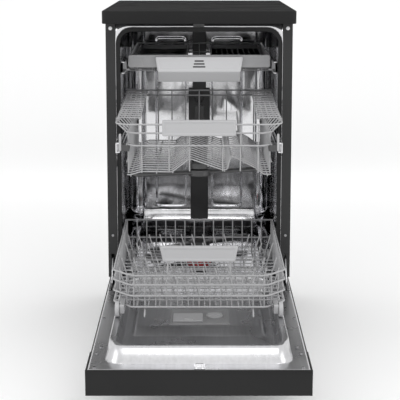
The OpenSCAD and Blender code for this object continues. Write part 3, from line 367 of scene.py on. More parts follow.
def piece(name, parts, *nodes, slot=None, body=None, look=None, toward=None, thick=0.0, door=False, sharp=40):
    """Joins the grids into one mesh in the frame that stands for CAD nodes. A closed shell gets faces
    that point outwards; an open sheet gets faces that look toward a point and a wall behind them."""
    starts = np.cumsum([0] + [len(points) for points, _ in parts[:-1]])
    points = np.concatenate([points for points, _ in parts])
    quads = np.concatenate([faces + start for (_, faces), start in zip(parts, starts)])
    mesh = bpy.data.meshes.new(name)
    mesh.from_pydata(to_frame(on_door(points) if door else points).tolist(), [], quads.tolist())
    shape = bmesh.new()
    shape.from_mesh(mesh)
    bmesh.ops.remove_doubles(shape, verts=shape.verts, dist=MERGE)
    bmesh.ops.dissolve_degenerate(shape, edges=shape.edges, dist=SLIVER)
    bmesh.ops.recalc_face_normals(shape, faces=shape.faces)
    if toward is not None:
        aim = Vector(to_frame(toward))
        if sum(f.normal.dot(aim - f.calc_center_median()) * f.calc_area() for f in shape.faces) < 0:
            bmesh.ops.reverse_faces(shape, faces=shape.faces)
    shape.to_mesh(mesh)
    shape.free()
    mesh.shade_smooth()
    mesh.set_sharp_from_angle(angle=np.radians(sharp))
    place(name, mesh, nodes, slot, body, look, thick)


def place(name, mesh, nodes, slot=None, body=None, look=None, thick=0.0):
    """Puts a mesh into the scene with its body, slot and finish, which come from its first CAD node."""
    slot, body = slot or SLOT_OF[nodes[0]], body or BODY_OF[nodes[0]]
    mesh.materials.clear()
    mesh.materials.append(FINISH[look or slot])
    made = bpy.data.objects.new(name, mesh)
    bpy.context.scene.collection.objects.link(made)
    if thick:
        wall = made.modifiers.new("wall", "SOLIDIFY")
        wall.thickness, wall.offset = thick * MM, -1
    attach(made, body)
    if nodes:
        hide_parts(*nodes)
    print(f"{name}: {len(mesh.polygons)} faces")
    return made


def softened(node, width, steps=2, look=None):
    """A copy of a CAD node with its flat faces merged and its edges rounded by a Bevel modifier."""
    mesh = frame["nodes"][node].data.copy()
    shape = bmesh.new()
    shape.from_mesh(mesh)
    bmesh.ops.remove_doubles(shape, verts=shape.verts, dist=MERGE)
    bmesh.ops.dissolve_limit(shape, angle_limit=np.radians(1), verts=shape.verts, edges=shape.edges)
    shape.to_mesh(mesh)
    shape.free()
    mesh.shade_smooth()
    mesh.set_sharp_from_angle(angle=np.radians(40))
    made = place(node + "_look", mesh, [node], look=look)
    bevel = made.modifiers.new("soft_edges", "BEVEL")
    bevel.width, bevel.segments, bevel.limit_method = width * MM, steps, "ANGLE"
    bevel.angle_limit, bevel.harden_normals, bevel.use_clamp_overlap = np.radians(40), True, True


print("mesh helpers ready")

# %% Rounding a path's corners
def rounded(points, radius, closed=False, steps=5):
    """Each corner P gives way to the curve (1-t)^2 A + 2t(1-t) P + t^2 B. A and B lie back from P on
    its two legs by radius x tan(half the turn), but never by more than 45% of a leg."""
    points = np.asarray(points, float)
    before, after = np.roll(points, 1, 0), np.roll(points, -1, 0)
    leg_a, leg_b = before - points, after - points
    long_a, long_b = (np.linalg.norm(leg, axis=1, keepdims=True) for leg in (leg_a, leg_b))
    leg_a, leg_b = leg_a / np.maximum(long_a, 1e-9), leg_b / np.maximum(long_b, 1e-9)
    turn = np.clip(-(leg_a * leg_b).sum(1, keepdims=True), -0.9999, 1)
    back = np.minimum(radius * np.sqrt((1 - turn) / (1 + turn)), 0.45 * np.minimum(long_a, long_b))
    t = np.linspace(0, 1, steps)[None, :, None]
    a, b, p = (points + leg_a * back)[:, None], (points + leg_b * back)[:, None], points[:, None]
    curve = (1 - t) ** 2 * a + 2 * t * (1 - t) * p + t**2 * b
    if closed:
        return curve.reshape(-1, points.shape[1])
    return np.concatenate([points[:1], curve[1:-1].reshape(-1, points.shape[1]), points[-1:]])


print("a rounded right angle has", len(rounded([(0, 0), (50, 0), (50, 50)], 10)), "points")

# %% Round wire along a path
WIRE_SIDES = 10
DOME = np.radians([90, 45, 0])


def wire(path, d, bend=0.0):
    """A round wire: each ring is path + d/2 (cos a N + sin a B), where N is square to the plane that
    holds the path and B is square to N and to the path. The ends are quarter-circle domes."""
    path = rounded(path, bend) if bend and len(path) > 2 else np.asarray(path, float)
    run = np.diff(path, axis=0)
    run /= np.linalg.norm(run, axis=1, keepdims=True)
    along = np.concatenate([run[:1], run[:-1] + run[1:], run[-1:]])
    along /= np.linalg.norm(along, axis=1, keepdims=True)
    normal = np.linalg.svd(path - path.mean(0))[2][2]
    r = d / 2
    first, last = along[0] * r * (1 - np.sin(DOME))[:, None], along[-1] * r * (1 - np.sin(DOME[::-1]))[:, None]
    centres = np.concatenate([path[0] + first, path[1:-1], path[-1] - last])
    along = np.concatenate([along[[0] * 3], along[1:-1], along[[-1] * 3]])
    radii = np.concatenate([r * np.cos(DOME), np.full(len(path) - 2, r), r * np.cos(DOME[::-1])])
    side = np.cross(normal, along)
    a = np.linspace(0, 2 * np.pi, WIRE_SIDES, endpoint=False)[None, :, None]
    ring = np.cos(a) * normal + np.sin(a) * side[:, None]
    return grid(centres[:, None] + radii[:, None, None] * ring, around=True)


def mirrored(parts):
    """The same grids with x turned to -x, beside the first ones."""
    return parts + [(points * (-1, 1, 1), quads[:, ::-1]) for points, quads in parts]


print("a straight wire has", len(wire([(0, 0, 0), (0, 0, 10)], 3)[1]), "quads")

# %% Plates, turned pieces and blocks
PLANES = {"xy": (0, 1, 2), "xz": (0, 2, 1), "yz": (1, 2, 0)}


def inset(outline, by):
    """The outline moved inwards: every point goes along the mean of its two edges' inner normals."""
    edge = np.roll(outline, -1, 0) - outline
    edge /= np.linalg.norm(edge, axis=1, keepdims=True)
    normal = np.stack([-edge[:, 1], edge[:, 0]], 1)
    inner = normal + np.roll(normal, 1, 0)
    inner /= np.maximum((inner * normal).sum(1, keepdims=True), 0.3)
    area = 0.5 * (outline[:, 0] * np.roll(outline[:, 1], -1) - outline[:, 1] * np.roll(outline[:, 0], -1)).sum()
    return outline + inner * by * np.sign(area)


def plate(outline, low, high, edge=1.0, plane="xy", steps=4, profile=None):
    """A plate whose outline shrinks by edge (1 - sin a) as its height runs edge (1 - cos a) in from
    each face, so its edges are quarter circles. A profile of (inset, height) replaces that rule. An
    outline of (corners, radius, steps) shrinks as corners first and is rounded after that."""
    if profile is None:
        a = np.radians(np.linspace(0, 90, steps))
        shrink, rise = edge * (1 - np.sin(a)), edge * (1 - np.cos(a))
        shrink = np.concatenate([[edge + 0.4], shrink, shrink[::-1], [edge + 0.4]])
        height = np.concatenate([[low], low + rise, high - rise[::-1], [high]])
    else:
        shrink, height = np.array(profile, float).T
    if isinstance(outline, tuple):
        corners, radius, turn_steps = outline
        rings = np.stack([rounded(inset(corners, by), np.maximum(radius - by, 0.3), True, turn_steps)
                          for by in shrink])
    else:
        rings = np.stack([inset(outline, by) for by in shrink])
    middle = np.broadcast_to(rings[0].mean(0), rings[:1].shape)
    rings = np.concatenate([middle, rings, middle])
    height = np.concatenate([height[:1], height, height[-1:]])
    points = np.empty((*rings.shape[:2], 3))
    i, j, k = PLANES[plane]
    points[..., i], points[..., j], points[..., k] = rings[..., 0], rings[..., 1], height[:, None]
    return grid(points, around=True)


def rect(low, high, radius, steps=5):
    """A rectangle between two corners with rounded corners."""
    corners = np.array([(low[0], low[1]), (high[0], low[1]), (high[0], high[1]), (low[0], high[1])], float)
    return corners, radius, steps


def block(low, high, edge=1.0, plane="xy", radius=None):
    """A box between two corners with every edge rounded."""
    i, j, k = PLANES[plane]
    low, high = np.array(low, float), np.array(high, float)
    outline = rect(low[[i, j]], high[[i, j]], edge * 1.6 if radius is None else radius)
    return plate(outline, low[k], high[k], edge, plane)


def turned(profile, centre, axis=2, sides=40, closed=False):
    """A turned piece: the profile's (radius, height) points go round the axis through the centre."""
    profile = np.asarray(profile, float)
    a = np.linspace(0, 2 * np.pi, sides, endpoint=False)
    points = np.empty((len(profile), sides, 3))
    points[..., axis] = profile[:, 1:2]
    points[..., (axis + 1) % 3] = profile[:, :1] * np.cos(a)
    points[..., (axis + 2) % 3] = profile[:, :1] * np.sin(a)
    return grid(points + np.asarray(centre, float), around=True, along=closed)


def spread(low, high, n):
    """n places evenly from low to high."""
    return np.linspace(low, high, n)


print("shape helpers ready")

# %% [markdown]
# ## Lower rack: bent wire, dipped in light grey nylon
# On the real rack a press bends four rims from 4 mm wire, and a welding jig joins them to a
# lattice of 3 mm wire. A round profile carried along each path gives the light its thin running
# highlight. A lattice could be an array of straight bars, but the rims' slanted corners need real
# bends, and the bends carry the look.

# %% Straight wires and eyes
THICK, THIN, WELD = 4.0, 3.0, 0.6
BESIDE = (THICK + THIN) / 2 - WELD
SIDES = (("left", -1), ("right", 1))


def across(half, y, z, d=THIN):
    """A wire from -half to half."""
    return wire([(-half, y, z), (half, y, z)], d)


def lengthwise(x, front, back, z, d=THIN):
    """A level wire from front to back."""
    return wire([(x, front, z), (x, back, z)], d)


def upright(x, y, low, high, d=THIN):
    """A standing wire from low to high."""
    return wire([(x, y, low), (x, y, high)], d)


def eye(x, y, z):
    """A short tube along y around (x, z), in which a shelf's or a tine row's wire turns."""
    half, bore, outer = 2, 2.05, 4
    profile = [(bore, y - half), (outer, y - half), (outer, y + half), (bore, y + half)]
    return turned(profile, (x, 0, z), 1, 24, closed=True)


print("thin wires sit", BESIDE, "mm beside a rim")

# %% Lower rack's end walls
RACK_HALF = 185.0
RIM_X, FLOOR_X = RACK_HALF - THICK / 2, RACK_HALF - 29
LOWER_FRONT, LOWER_BACK, LOWER_FLOOR = -367.0, 117.0, 240
LOWER_RIMS, LOWER_BACK_RIMS = (311, 290, 266, 242), (320, 275)
CORNER_X, CORNER_RUN = RACK_HALF - 41, 45

bend = LOWER_FRONT + CORNER_RUN
rim = [(-RIM_X, bend + 5.2), (-RIM_X, bend), (-CORNER_X, LOWER_FRONT), (CORNER_X, LOWER_FRONT), (RIM_X, bend),
       (RIM_X, bend + 5.2)]
foot, top = LOWER_FLOOR - 1.5, LOWER_RIMS[0] + 1
ends = [wire([(x, y, z) for x, y in rim], THICK, 22) for z in LOWER_RIMS]
ends += [upright(x, LOWER_FRONT + BESIDE, foot, top) for x in spread(6 - CORNER_X, CORNER_X - 6, 13)]
ends += [upright(x, LOWER_FRONT, LOWER_RIMS[0] - 3, 354, THICK) for x in (-66, 66)]
ends += mirrored([upright(CORNER_X + (RIM_X - CORNER_X) * t - BESIDE * 0.75,
                          LOWER_FRONT + CORNER_RUN * t + BESIDE * 0.66, foot, top) for t in (0.3, 0.7)])
ends += [across(RIM_X, LOWER_BACK - 2, z, THICK) for z in LOWER_BACK_RIMS]
ends += [upright(x, LOWER_BACK - 2 - BESIDE, foot, LOWER_BACK_RIMS[0] + 1)
         for x in spread(-FLOOR_X, FLOOR_X, 14)]
piece("lower_rack_end_wires", ends, "lower_rack_ends")

# %% Lower rack's side walls
front, back = bend + 5, LOWER_BACK - THICK
sides = [wire([(RIM_X, front, LOWER_RIMS[0]), (RIM_X, LOWER_BACK, LOWER_BACK_RIMS[0])], THICK)]
sides += [lengthwise(RIM_X, front, back, z, THICK) for z in LOWER_RIMS[1:]]
for y in spread(front + 8, back - 8, round((back - front) / 24) + 1):
    top = LOWER_RIMS[0] + (LOWER_BACK_RIMS[0] - LOWER_RIMS[0]) * (y - front) / (back - front)
    sides.append(upright(RIM_X - BESIDE, y, LOWER_FLOOR - 1, top + 1))
piece("lower_rack_side_wires", mirrored(sides), "lower_rack_sides")

# %% Lower rack's floor, feet and axles
AXLE_Y, AXLE_Z, WHEEL_D = (LOWER_FRONT + 6, LOWER_BACK - 28), 235.3, 32
WHEEL_X = RIM_X - BESIDE - THIN / 2 - 0.4 - 9

floor = [lengthwise(x, LOWER_FRONT + 8, LOWER_BACK - 6, LOWER_FLOOR) for x in spread(-FLOOR_X, FLOOR_X, 14)]
for y in spread(LOWER_FRONT + 50, LOWER_BACK - 12, 15):
    by_wheel = min(abs(y - axle_y) for axle_y in AXLE_Y) < WHEEL_D / 2 + THIN
    floor.append(across(WHEEL_X - 5 if by_wheel else RIM_X - 1, y, LOWER_FLOOR + THIN - WELD))
foot_path = [(60, LOWER_FLOOR - 0.4), (14, LOWER_FLOOR - 0.4), (3, LOWER_FLOOR - 4), (-13, 223.6)]
feet = [wire([(RACK_HALF - 70, LOWER_FRONT + y, z) for y, z in foot_path], THICK, 12)]
axle = [(0, WHEEL_X - 2), (4, WHEEL_X - 2), (4, WHEEL_X + 8.2), (3.2, WHEEL_X + 9), (0, WHEEL_X + 9)]
for y, reach in zip(AXLE_Y, (46, 18)):
    feet.append(block((WHEEL_X - 11, y - 12, AXLE_Z - 8), (WHEEL_X - 0.4, y + reach, LOWER_FLOOR + 8),
                      1.6, "yz", 5))
    feet.append(turned(axle, (0, y, AXLE_Z), 0, 24))
piece("lower_rack_floor_wires", floor + mirrored(feet), "lower_rack_floor")

# %% Lower rack's tines
TINE_X = np.arange(-FLOOR_X, FLOOR_X + 4, 26)
TINE_H, TINE_LEAN = 62, 18
base = LOWER_FLOOR + 2 * (THIN - WELD)
tines = []
for y in (-290, -205, -70, 15):
    tines.append(wire([(TINE_X[0] - 6, y, base), (TINE_X[-1] + 6, y, base)], THIN))
    for x in TINE_X:
        lean = TINE_LEAN if x > RACK_HALF - 90 else -TINE_LEAN
        tines.append(wire([(x, y + THIN - WELD, base - 1), (x + lean, y + THIN - WELD, base + TINE_H)], THIN))
piece("lower_rack_tine_wires", tines, "lower_rack_tines")

# %% [markdown]
# ## Rollers
# Each roller is a nylon wheel with a rounded tread and a dished face around its hub. A cylinder
# with bevelled edges would come close, but it has no dish. The real one's mould is turned on a
# lathe, so one profile turned about the axle gives the whole shape.

# %% Four rollers
WHEEL = [(4.1, 1.9), (6.5, 1.9), (7.0, 2.2), (13.0, 2.2), (13.4, 0.2), (15.2, 0.0), (15.8, 0.5), (16.0, 1.4),
         (16.0, 7.6), (15.8, 8.5), (15.2, 9.0), (13.4, 8.8), (13.0, 6.8), (7.0, 6.8), (6.5, 7.1), (4.1, 7.1)]
for side, s in SIDES:
    for end_name, y in zip(("front", "back"), AXLE_Y):
        name = f"lower_wheel_{end_name}_{side}"
        profile = [(r, s * (WHEEL_X + a)) for r, a in WHEEL]
        piece(name + "_tread", [turned(profile, (0, y, AXLE_Z), 0, 48, closed=True)], name)

# %% [markdown]
# ## Middle rack
# This rack's floor is folded: each cross wire climbs over the spray arm's room and leaves a lower
# channel for plates on the left and cups on the right. Its walls stand on the folded wires and
# lean out to the rim. A flat floor pushed up by a modifier would stretch the wires, so one list of
# heights gives the fold, and both the cross wires and the lengthwise wires read it.

# %% Middle rack's end walls
MID_FRONT, MID_BACK, MID_RIM = -222.0, 234.0, 611.0
MID_BACK_RIM, MID_FLOOR, MID_WALL = MID_RIM + 23, MID_RIM - 113, RACK_HALF - 25

front = MID_FRONT + THICK / 2
ends = []
for z in (MID_RIM, MID_RIM - 19, MID_RIM - 47):
    half = RIM_X if z == MID_RIM else MID_WALL + 1
    ends.append(wire([(-half, front + 22, z), (20 - half, front, z), (half - 20, front, z),
                      (half, front + 22, z)], THICK, 14))
for x in (34 - MID_WALL, -66, -21, 52, 91, MID_WALL - 30):
    ends.append(upright(x, front + BESIDE, MID_FLOOR + (4 if abs(x) > 100 else 8), MID_RIM + 1))
ends += [across(RIM_X, MID_BACK - 2, MID_BACK_RIM - drop, THICK) for drop in (0, 13)]
ends += [upright(x, MID_BACK - 2 - BESIDE, MID_FLOOR + 3, MID_BACK_RIM + 1)
         for x in spread(20 - MID_WALL, MID_WALL - 20, 9)]
piece("mid_rack_end_wires", ends, "mid_rack_ends")

# %% Middle rack's side walls
SHELF_X, SHELF_Y, SHELF_RISE = (RACK_HALF - 54, RACK_HALF - 6), (MID_FRONT + 34, MID_BACK - 44), 6


def side_rim(y):
    """Height of the side rim: front rim + (back rim - front rim) (y - front) / (back - front)."""
    return MID_RIM + (MID_BACK_RIM - MID_RIM) * (y - MID_FRONT) / (MID_BACK - MID_FRONT)


front, back = MID_FRONT + 24, MID_BACK - THICK
sides = [wire([(RIM_X, front, side_rim(front)), (RIM_X, back, side_rim(back))], THICK)]
sides += [lengthwise(MID_WALL, MID_FRONT + 14, MID_BACK - 2, z) for z in (MID_RIM - 47, MID_RIM - 85)]
for y in (SHELF_Y[0] - 6, SHELF_Y[1] + 6):
    pivot_z = side_rim(y) + SHELF_RISE
    sides.append(eye(SHELF_X[1], y, pivot_z))
    sides.append(block((SHELF_X[1] + 2.4, y - 2, side_rim(y) - 2), (RIM_X + 1, y + 2, pivot_z + 3.6),
                       0.6, "xz"))
for y in spread(MID_FRONT + 32, MID_BACK - 20, 13):
    sides.append(wire([(MID_WALL - 2.4, y, MID_FLOOR - 1), (MID_WALL - 2.4, y, MID_RIM - 24),
                       (RIM_X - 0.8, y, side_rim(y) - 1.5)], THIN, 16))
piece("mid_rack_side_wires", mirrored(sides), "mid_rack_sides")

# %% Middle rack's folded floor
FOLD = [(-MID_WALL, 0), (9 - MID_WALL, 0), (33 - MID_WALL, 7), (-60, 6), (-20, 36), (51, 11), (62, 11),
        (70, 44), (MID_WALL - 33, 14), (MID_WALL - 17, 1), (MID_WALL, 1)]
PIVOT_X, PIVOT_Z, FOLD_Y = 98, MID_FLOOR + 36, (MID_FRONT + 50, MID_BACK - 70)

floor = []
for y in (FOLD_Y[0] - 6, FOLD_Y[1] + 6):
    floor.append(eye(PIVOT_X, y, PIVOT_Z))
    floor.append(block((PIVOT_X - 2.5, y - 2, MID_FLOOR + 25), (PIVOT_X + 2.5, y + 2, PIVOT_Z - 2.4),
                       0.6, "xz"))
for y in spread(MID_FRONT + 10, MID_BACK - 8, 16):
    floor.append(wire([(x, y, MID_FLOOR + z) for x, z in FOLD], THIN, 10))
fold_x, fold_z = np.array(FOLD).T
for x in (9 - MID_WALL, -94, -58, -20, 20, 56, 70, PIVOT_X, MID_WALL - 33, MID_WALL - 9):
    z = MID_FLOOR + np.interp(x, fold_x, fold_z) - THIN + WELD
    floor.append(lengthwise(x, MID_FRONT + 4, MID_BACK - 2, z))
piece("mid_rack_floor_wires", floor, "mid_rack_floor")

# %% Folding tines and cup shelves
tines = [lengthwise(PIVOT_X, FOLD_Y[0] - 9, FOLD_Y[1] + 9, PIVOT_Z)]
tines += [wire([(PIVOT_X, y, PIVOT_Z), (PIVOT_X - 4, y, PIVOT_Z + 56)], THIN)
          for y in spread(FOLD_Y[0] + 8, FOLD_Y[1] - 8, 12)]
piece("mid_rack_tine_wires", tines, "mid_rack_tines")

shelf = []
for x in spread(*SHELF_X, 5):
    front, back = (SHELF_Y[0] - 9, SHELF_Y[1] + 9) if x == SHELF_X[1] else SHELF_Y
    shelf.append(wire([(x, y, side_rim(y) + SHELF_RISE) for y in (front, back)], THIN))
for y in spread(SHELF_Y[0] + 4, SHELF_Y[1] - 4, 16):
    z = side_rim(y) + SHELF_RISE + THIN - WELD
    shelf.append(wire([(SHELF_X[0] - 2, y, z), (SHELF_X[1] + 1, y, z)], THIN))
for side, s in SIDES:
    half = [(points * (s, 1, 1), quads) for points, quads in shelf]
    piece(f"cup_shelf_{side}_wires", half, f"cup_shelf_{side}")

# %% Middle rack's sliders
ROLLER_Z, ROLLER_X = 556, 180
tread = [(0, -3.4), (5, -3.4), (9.6, -3.2), (10.4, -2.4), (10.8, 0), (10.4, 2.4), (9.6, 3.2), (5, 3.4),
         (0, 3.4)]

channels = [block((175.5, MID_FRONT + 20, z - 2.5), (184.8, MID_BACK - 10, z + 2.5), 1.0, "xz")
            for z in (ROLLER_Z - 9, ROLLER_Z + 9)]
channels.append(block((181.6, MID_FRONT + 14, ROLLER_Z - 11), (184.6, MID_BACK - 12, ROLLER_Z + 11), 1.0, "xz"))
piece("mid_slider_channels", mirrored(channels), "mid_sliders", slot="steel")
holders = [block((MID_WALL - 6, y, ROLLER_Z - 7), (176.5, y + 34, ROLLER_Z + 7), 1.5, "xz")
           for y in (MID_FRONT + 14, MID_BACK - 60)]
piece("mid_slider_holders", mirrored(holders), body="middle_rack", slot="dark_plastic")
rollers = [turned([(r, ROLLER_X + a) for r, a in tread], (0, MID_FRONT + y, ROLLER_Z), 0, 32) for y in (26, 60)]
rollers.append(block((172, MID_FRONT + 12, ROLLER_Z - 6), (177, MID_FRONT + 22, ROLLER_Z + 32), 1.8, "xz", 5))
piece("mid_slider_rollers", mirrored(rollers), body="middle_rack", slot="light_plastic")

# %% [markdown]
# ## Cutlery rack
# The top rack is a flat tray of wire behind a moulded front bar. Two plastic inserts drop into it:
# the left one has a few tall dividers for ladles and the right one a comb for knives and forks. A
# comb could be cut with booleans, but a wavy upper edge on a thin plate gives the same slots with
# clean, soft edges.

# %% Cutlery rack's wires
TOP_FRONT, TOP_BACK, TOP_RIM = 66.0, 480.0, 739.0
TOP_HALF, TOP_FLOOR = RACK_HALF - 13.5, TOP_RIM - 39
RUNNER_X = (RACK_HALF - 9.5, RACK_HALF - 0.2)
TOP_WIRES = (TOP_RIM - 3, TOP_FLOOR + 12)

tray = [block((-TOP_HALF, TOP_FRONT, TOP_RIM - 31), (TOP_HALF, TOP_FRONT + 6, TOP_RIM), 1.6, "xz", 5)]
half = [lengthwise(TOP_HALF - 2, TOP_FRONT + 4, TOP_BACK - 2, z, THICK) for z in TOP_WIRES]
half += [upright(TOP_HALF - 2 - BESIDE, y, TOP_FLOOR, TOP_RIM - 2)
         for y in spread(TOP_FRONT + 30, TOP_BACK - 20, 10)]
front, back, foot = TOP_FRONT + 6, TOP_BACK - 10, TOP_FLOOR + 0.5
half.append(block((TOP_HALF - 3, front, foot), (RUNNER_X[1], back, foot + 4.5), 0.8, "xz"))
half.append(block((RUNNER_X[0], front, foot), (RUNNER_X[1], back, foot + 23), 1.2, "xz"))
tray += mirrored(half)
tray += [across(TOP_HALF, TOP_BACK - 2, z, THICK) for z in TOP_WIRES]
for x in spread(21.5 - TOP_HALF, TOP_HALF - 21.5, 9):
    tray.append(wire([(x, TOP_FRONT + 2, TOP_FLOOR + 14), (x, TOP_FRONT + 14, TOP_FLOOR + 1.6),
                      (x, TOP_BACK - 2, TOP_FLOOR + 1.5)], THIN, 8))
    tray.append(upright(x, TOP_BACK - 2 - BESIDE, TOP_FLOOR, TOP_RIM - 2))
z = TOP_FLOOR + 1.5 - THIN + WELD
tray += [across(TOP_HALF - 2, y, z) for y in spread(TOP_FRONT + 30, TOP_BACK - 20, 10)]
piece("third_rack_wires", tray, "third_rack_frame")

# %% Inserts of the cutlery rack
INSERT_X, INSERT_Y, INSERT_Z = (30, TOP_HALF - 11.5), (TOP_FRONT + 24, TOP_BACK - 24), TOP_FLOOR + 3.8
INSERT_WALL = [(8, 0), (1.6, 0), (0.5, 0.5), (0, 1.6), (0, 29), (0.3, 29.7), (1, 30), (1.7, 29.7), (2, 29),
               (2, 4), (2.6, 2.6), (4, 2), (9, 2)]


def comb(low, high, y, teeth):
    """A fin across the insert: its upper edge dips by 7 (1 - cos(2 pi teeth u)) / 2 between the cutlery."""
    u = spread(0, 1, teeth * 12 + 1)
    top = np.stack([low[0] + (high[0] - low[0]) * u, high[1] - 3.5 * (1 - np.cos(2 * np.pi * teeth * u))], 1)
    return plate(np.concatenate([[(low[0], low[1]), (high[0], low[1])], top[::-1]]), y - 1, y + 1, 0.5, "xz")


for side, s, fins, teeth in (("left", -1, 5, 3), ("right", 1, 14, 9)):
    outline = rect((INSERT_X[0], INSERT_Y[0]), (INSERT_X[1], INSERT_Y[1]), 7, 7)
    tray = [plate(outline, 0, 0, profile=[(inward, INSERT_Z + up) for inward, up in INSERT_WALL])]
    tray += [comb((INSERT_X[0] + 1.2, INSERT_Z + 1), (INSERT_X[1] - 1.2, INSERT_Z + 22), y, teeth)
             for y in spread(INSERT_Y[0] + 24, INSERT_Y[1] - 24, fins)]
    tray = [(points * (s, 1, 1), quads) for points, quads in tray]
    piece(f"third_insert_{side}_tray", tray, f"third_insert_{side}", look="insert")

# %% [markdown]
# ## Handles
# All three handles are moulded grips clipped over the wires. Each is a flat trapezoid with round
# edges and a shallow dish in its face for the fingertips. The top one has a lip below it and a
# plain mark of three stacked bars in place of a label. A bevelled box would do for the outline, but
# the dish needs its own rings, so one profile of insets and depths makes border, dish and back.


# %% Three handles
def grip(half_top, half_foot, y, z, radius=4):
    """A trapezoid plate whose front face dips by 1 mm inside a raised border."""
    corners = np.array([(-half_foot, z[0]), (half_foot, z[0]), (half_top, z[1]), (-half_top, z[1])], float)
    front = [(7.4, y[0] + 1), (7, y[0] + 1), (6, y[0] + 0.85), (4.9, y[0] + 0.15), (4.4, y[0]), (1.5, y[0]),
             (0.45, y[0] + 0.45), (0, y[0] + 1.5)]
    back = [(0, y[1] - 1.2), (0.35, y[1] - 0.35), (1.2, y[1]), (1.8, y[1])]
    return plate((corners, radius, 5), 0, 0, plane="xz", profile=front + back)


piece("lower_rack_grip", [grip(82, 76, (LOWER_FRONT - 5, LOWER_FRONT + 5), (342, 375))], "lower_rack_handle")
piece("mid_rack_grip", [grip(81, 81, (MID_FRONT - 5, MID_FRONT + 6), (MID_RIM - 25, MID_RIM + 10))],
      "mid_rack_handle")
LIP = [(-9, -39), (-8.6, -44), (-3, -65), (-1, -65), (-3, -44), (-3, -39)]
lip = rounded([(TOP_FRONT + y, TOP_RIM + z) for y, z in LIP], 2, closed=True)
piece("third_rack_grip", [grip(106, 100, (TOP_FRONT - 9, TOP_FRONT), (TOP_RIM - 41, TOP_RIM - 4))],
      "third_rack_handle", look="grip")
piece("third_rack_lip", [plate(lip[::-1], -99, 99, 0.8, "yz")], body="cutlery_rack", slot="handle_grey")
bars = [block((-half, TOP_FRONT - 8.6, TOP_RIM - 30 + 7 * i), (half, TOP_FRONT - 7.6, TOP_RIM - 26.4 + 7 * i),
              0.3, "xz", 1) for i, half in enumerate((15, 13, 11))]
piece("third_rack_mark", bars, body="cutlery_rack", slot="dark_plastic")

# %% [markdown]
# ## Worktop and cabinet
# The worktop is a board with a tough laminate over its rounded front edge. Its corners are routed
# round at the front and square at the back, which one bevel width can't give, so it is a plate of
# its own. The side panels are folded sheet and the hidden fittings are mouldings. Their CAD copies
# only need softer edges, so a Bevel modifier finishes them.

# %% Worktop and plugs
low, high = box_mm("worktop")
board = rect(low[:2], high[:2], np.array([[14.0], [14.0], [1.0], [1.0]]), 9)
piece("worktop_board", [plate(board, low[2], high[2], 2.2, steps=6)], "worktop")
PLUG = [(0, 0.9), (3, 0.9), (3, 0), (4.3, -0.2), (4.5, -0.8), (4.1, -1.4), (2.6, -1.9), (0, -2.0)]
piece("flange_plug_caps", mirrored([turned(PLUG, (208.5, 0, 807), 1, 32)]), "flange_plugs")

# %% Softened panels and fittings
SOFT_EDGES = {
    "side_panel_left": 0.4, "side_panel_right": 0.4, "back_panel": 0.4, "base_pan": 0.8, "kick_plate": 0.6,
    "door_lock": 0.5, "feet": 0.8, "hinge_brackets": 0.4, "cable_gland": 0.8, "flange_screws": 0.25,
    "water_duct": 1.6, "inlet_valve": 0.8, "softener": 3.0, "rack_rails": 0.4, "salt_cap": 0.9,
    "filter_handle": 0.9, "filter_plate": 0.3, "mid_water_feed": 1.2, "hinge_arms": 0.5,
    "door_outer_panel": 0.4, "control_fascia": 1.0, "control_board": 0.3, "dispenser_lid": 0.8,
    "rinse_aid_cap": 0.8, "door_strike": 0.5, "rim_screws": 0.25, "power_button": 0.7, "start_button": 0.7,
    "circulation_pump": 1.2, "drain_pump": 1.2,
}
for node, width in SOFT_EDGES.items():
    softened(node, width)
softened("dispenser", 0.9, look="dispenser")

# %% [markdown]
# ## Tub
# The tub is drawn from one sheet of stainless steel. Its walls wrap over the ceiling, and all of
# them run into the back wall through one quarter-circle bend. So the wall is a surface of two
# parameters: along the arch-shaped outline, and along a path that goes straight back, turns
# through the bend and stops. The back wall and the floor are height maps, because a press gives
# them fields and steps that depend only on place.


# %% Tub walls
def arch(half, top, foot, radius, n=9):
    """An arch outline from the left foot over the ceiling to the right foot, with two round corners."""
    a = np.linspace(0, np.pi / 2, n)
    up = np.linspace(foot, top - radius, 12)[:-1]
    left = np.stack([np.full(11, -half), up], 1)
    bend = np.stack([-(half - radius) - radius * np.cos(a), top - radius + radius * np.sin(a)], 1)
    across = np.stack([np.linspace(radius - half, 0, 8)[1:], np.full(7, top)], 1)
    half_arch = np.concatenate([left, bend, across])
    return np.concatenate([half_arch, half_arch[-2::-1] * (-1, 1)])


def arch_row(half, top, foot, radius, y):
    """The arch outline as a row of points at depth y."""
    xz = arch(half, top, foot, radius)
    return np.stack([xz[:, 0], np.full(len(xz), y), xz[:, 1]], 1)


TUB_HALF, CEILING, BEND, TUB_BACK, LEDGE = 196.5, 809.0, 38.0, 532.0, 219.0
turn = np.radians(np.linspace(0, 90, 10))
rows = [arch_row(199, 818, LEDGE - 1, 2, 1.2),
        arch_row(TUB_HALF + 1.5, CEILING + 1.5, LEDGE - 1, BEND + 1.5, 1.2),
        arch_row(TUB_HALF, CEILING, LEDGE - 1, BEND, 2.6)]
rows += [arch_row(TUB_HALF, CEILING, LEDGE - 1, BEND, y) for y in spread(30, TUB_BACK - BEND, 14)]
rows += [arch_row(TUB_HALF - s, CEILING - s, LEDGE - 1, max(BEND - s, 0.01), y)
         for s, y in zip(BEND * (1 - np.cos(turn[1:])), TUB_BACK - BEND + BEND * np.sin(turn[1:]))]
tub_parts = [grid(np.stack(rows))]
print("tub wall grid:", len(rows), "rows of", len(rows[0]), "points")


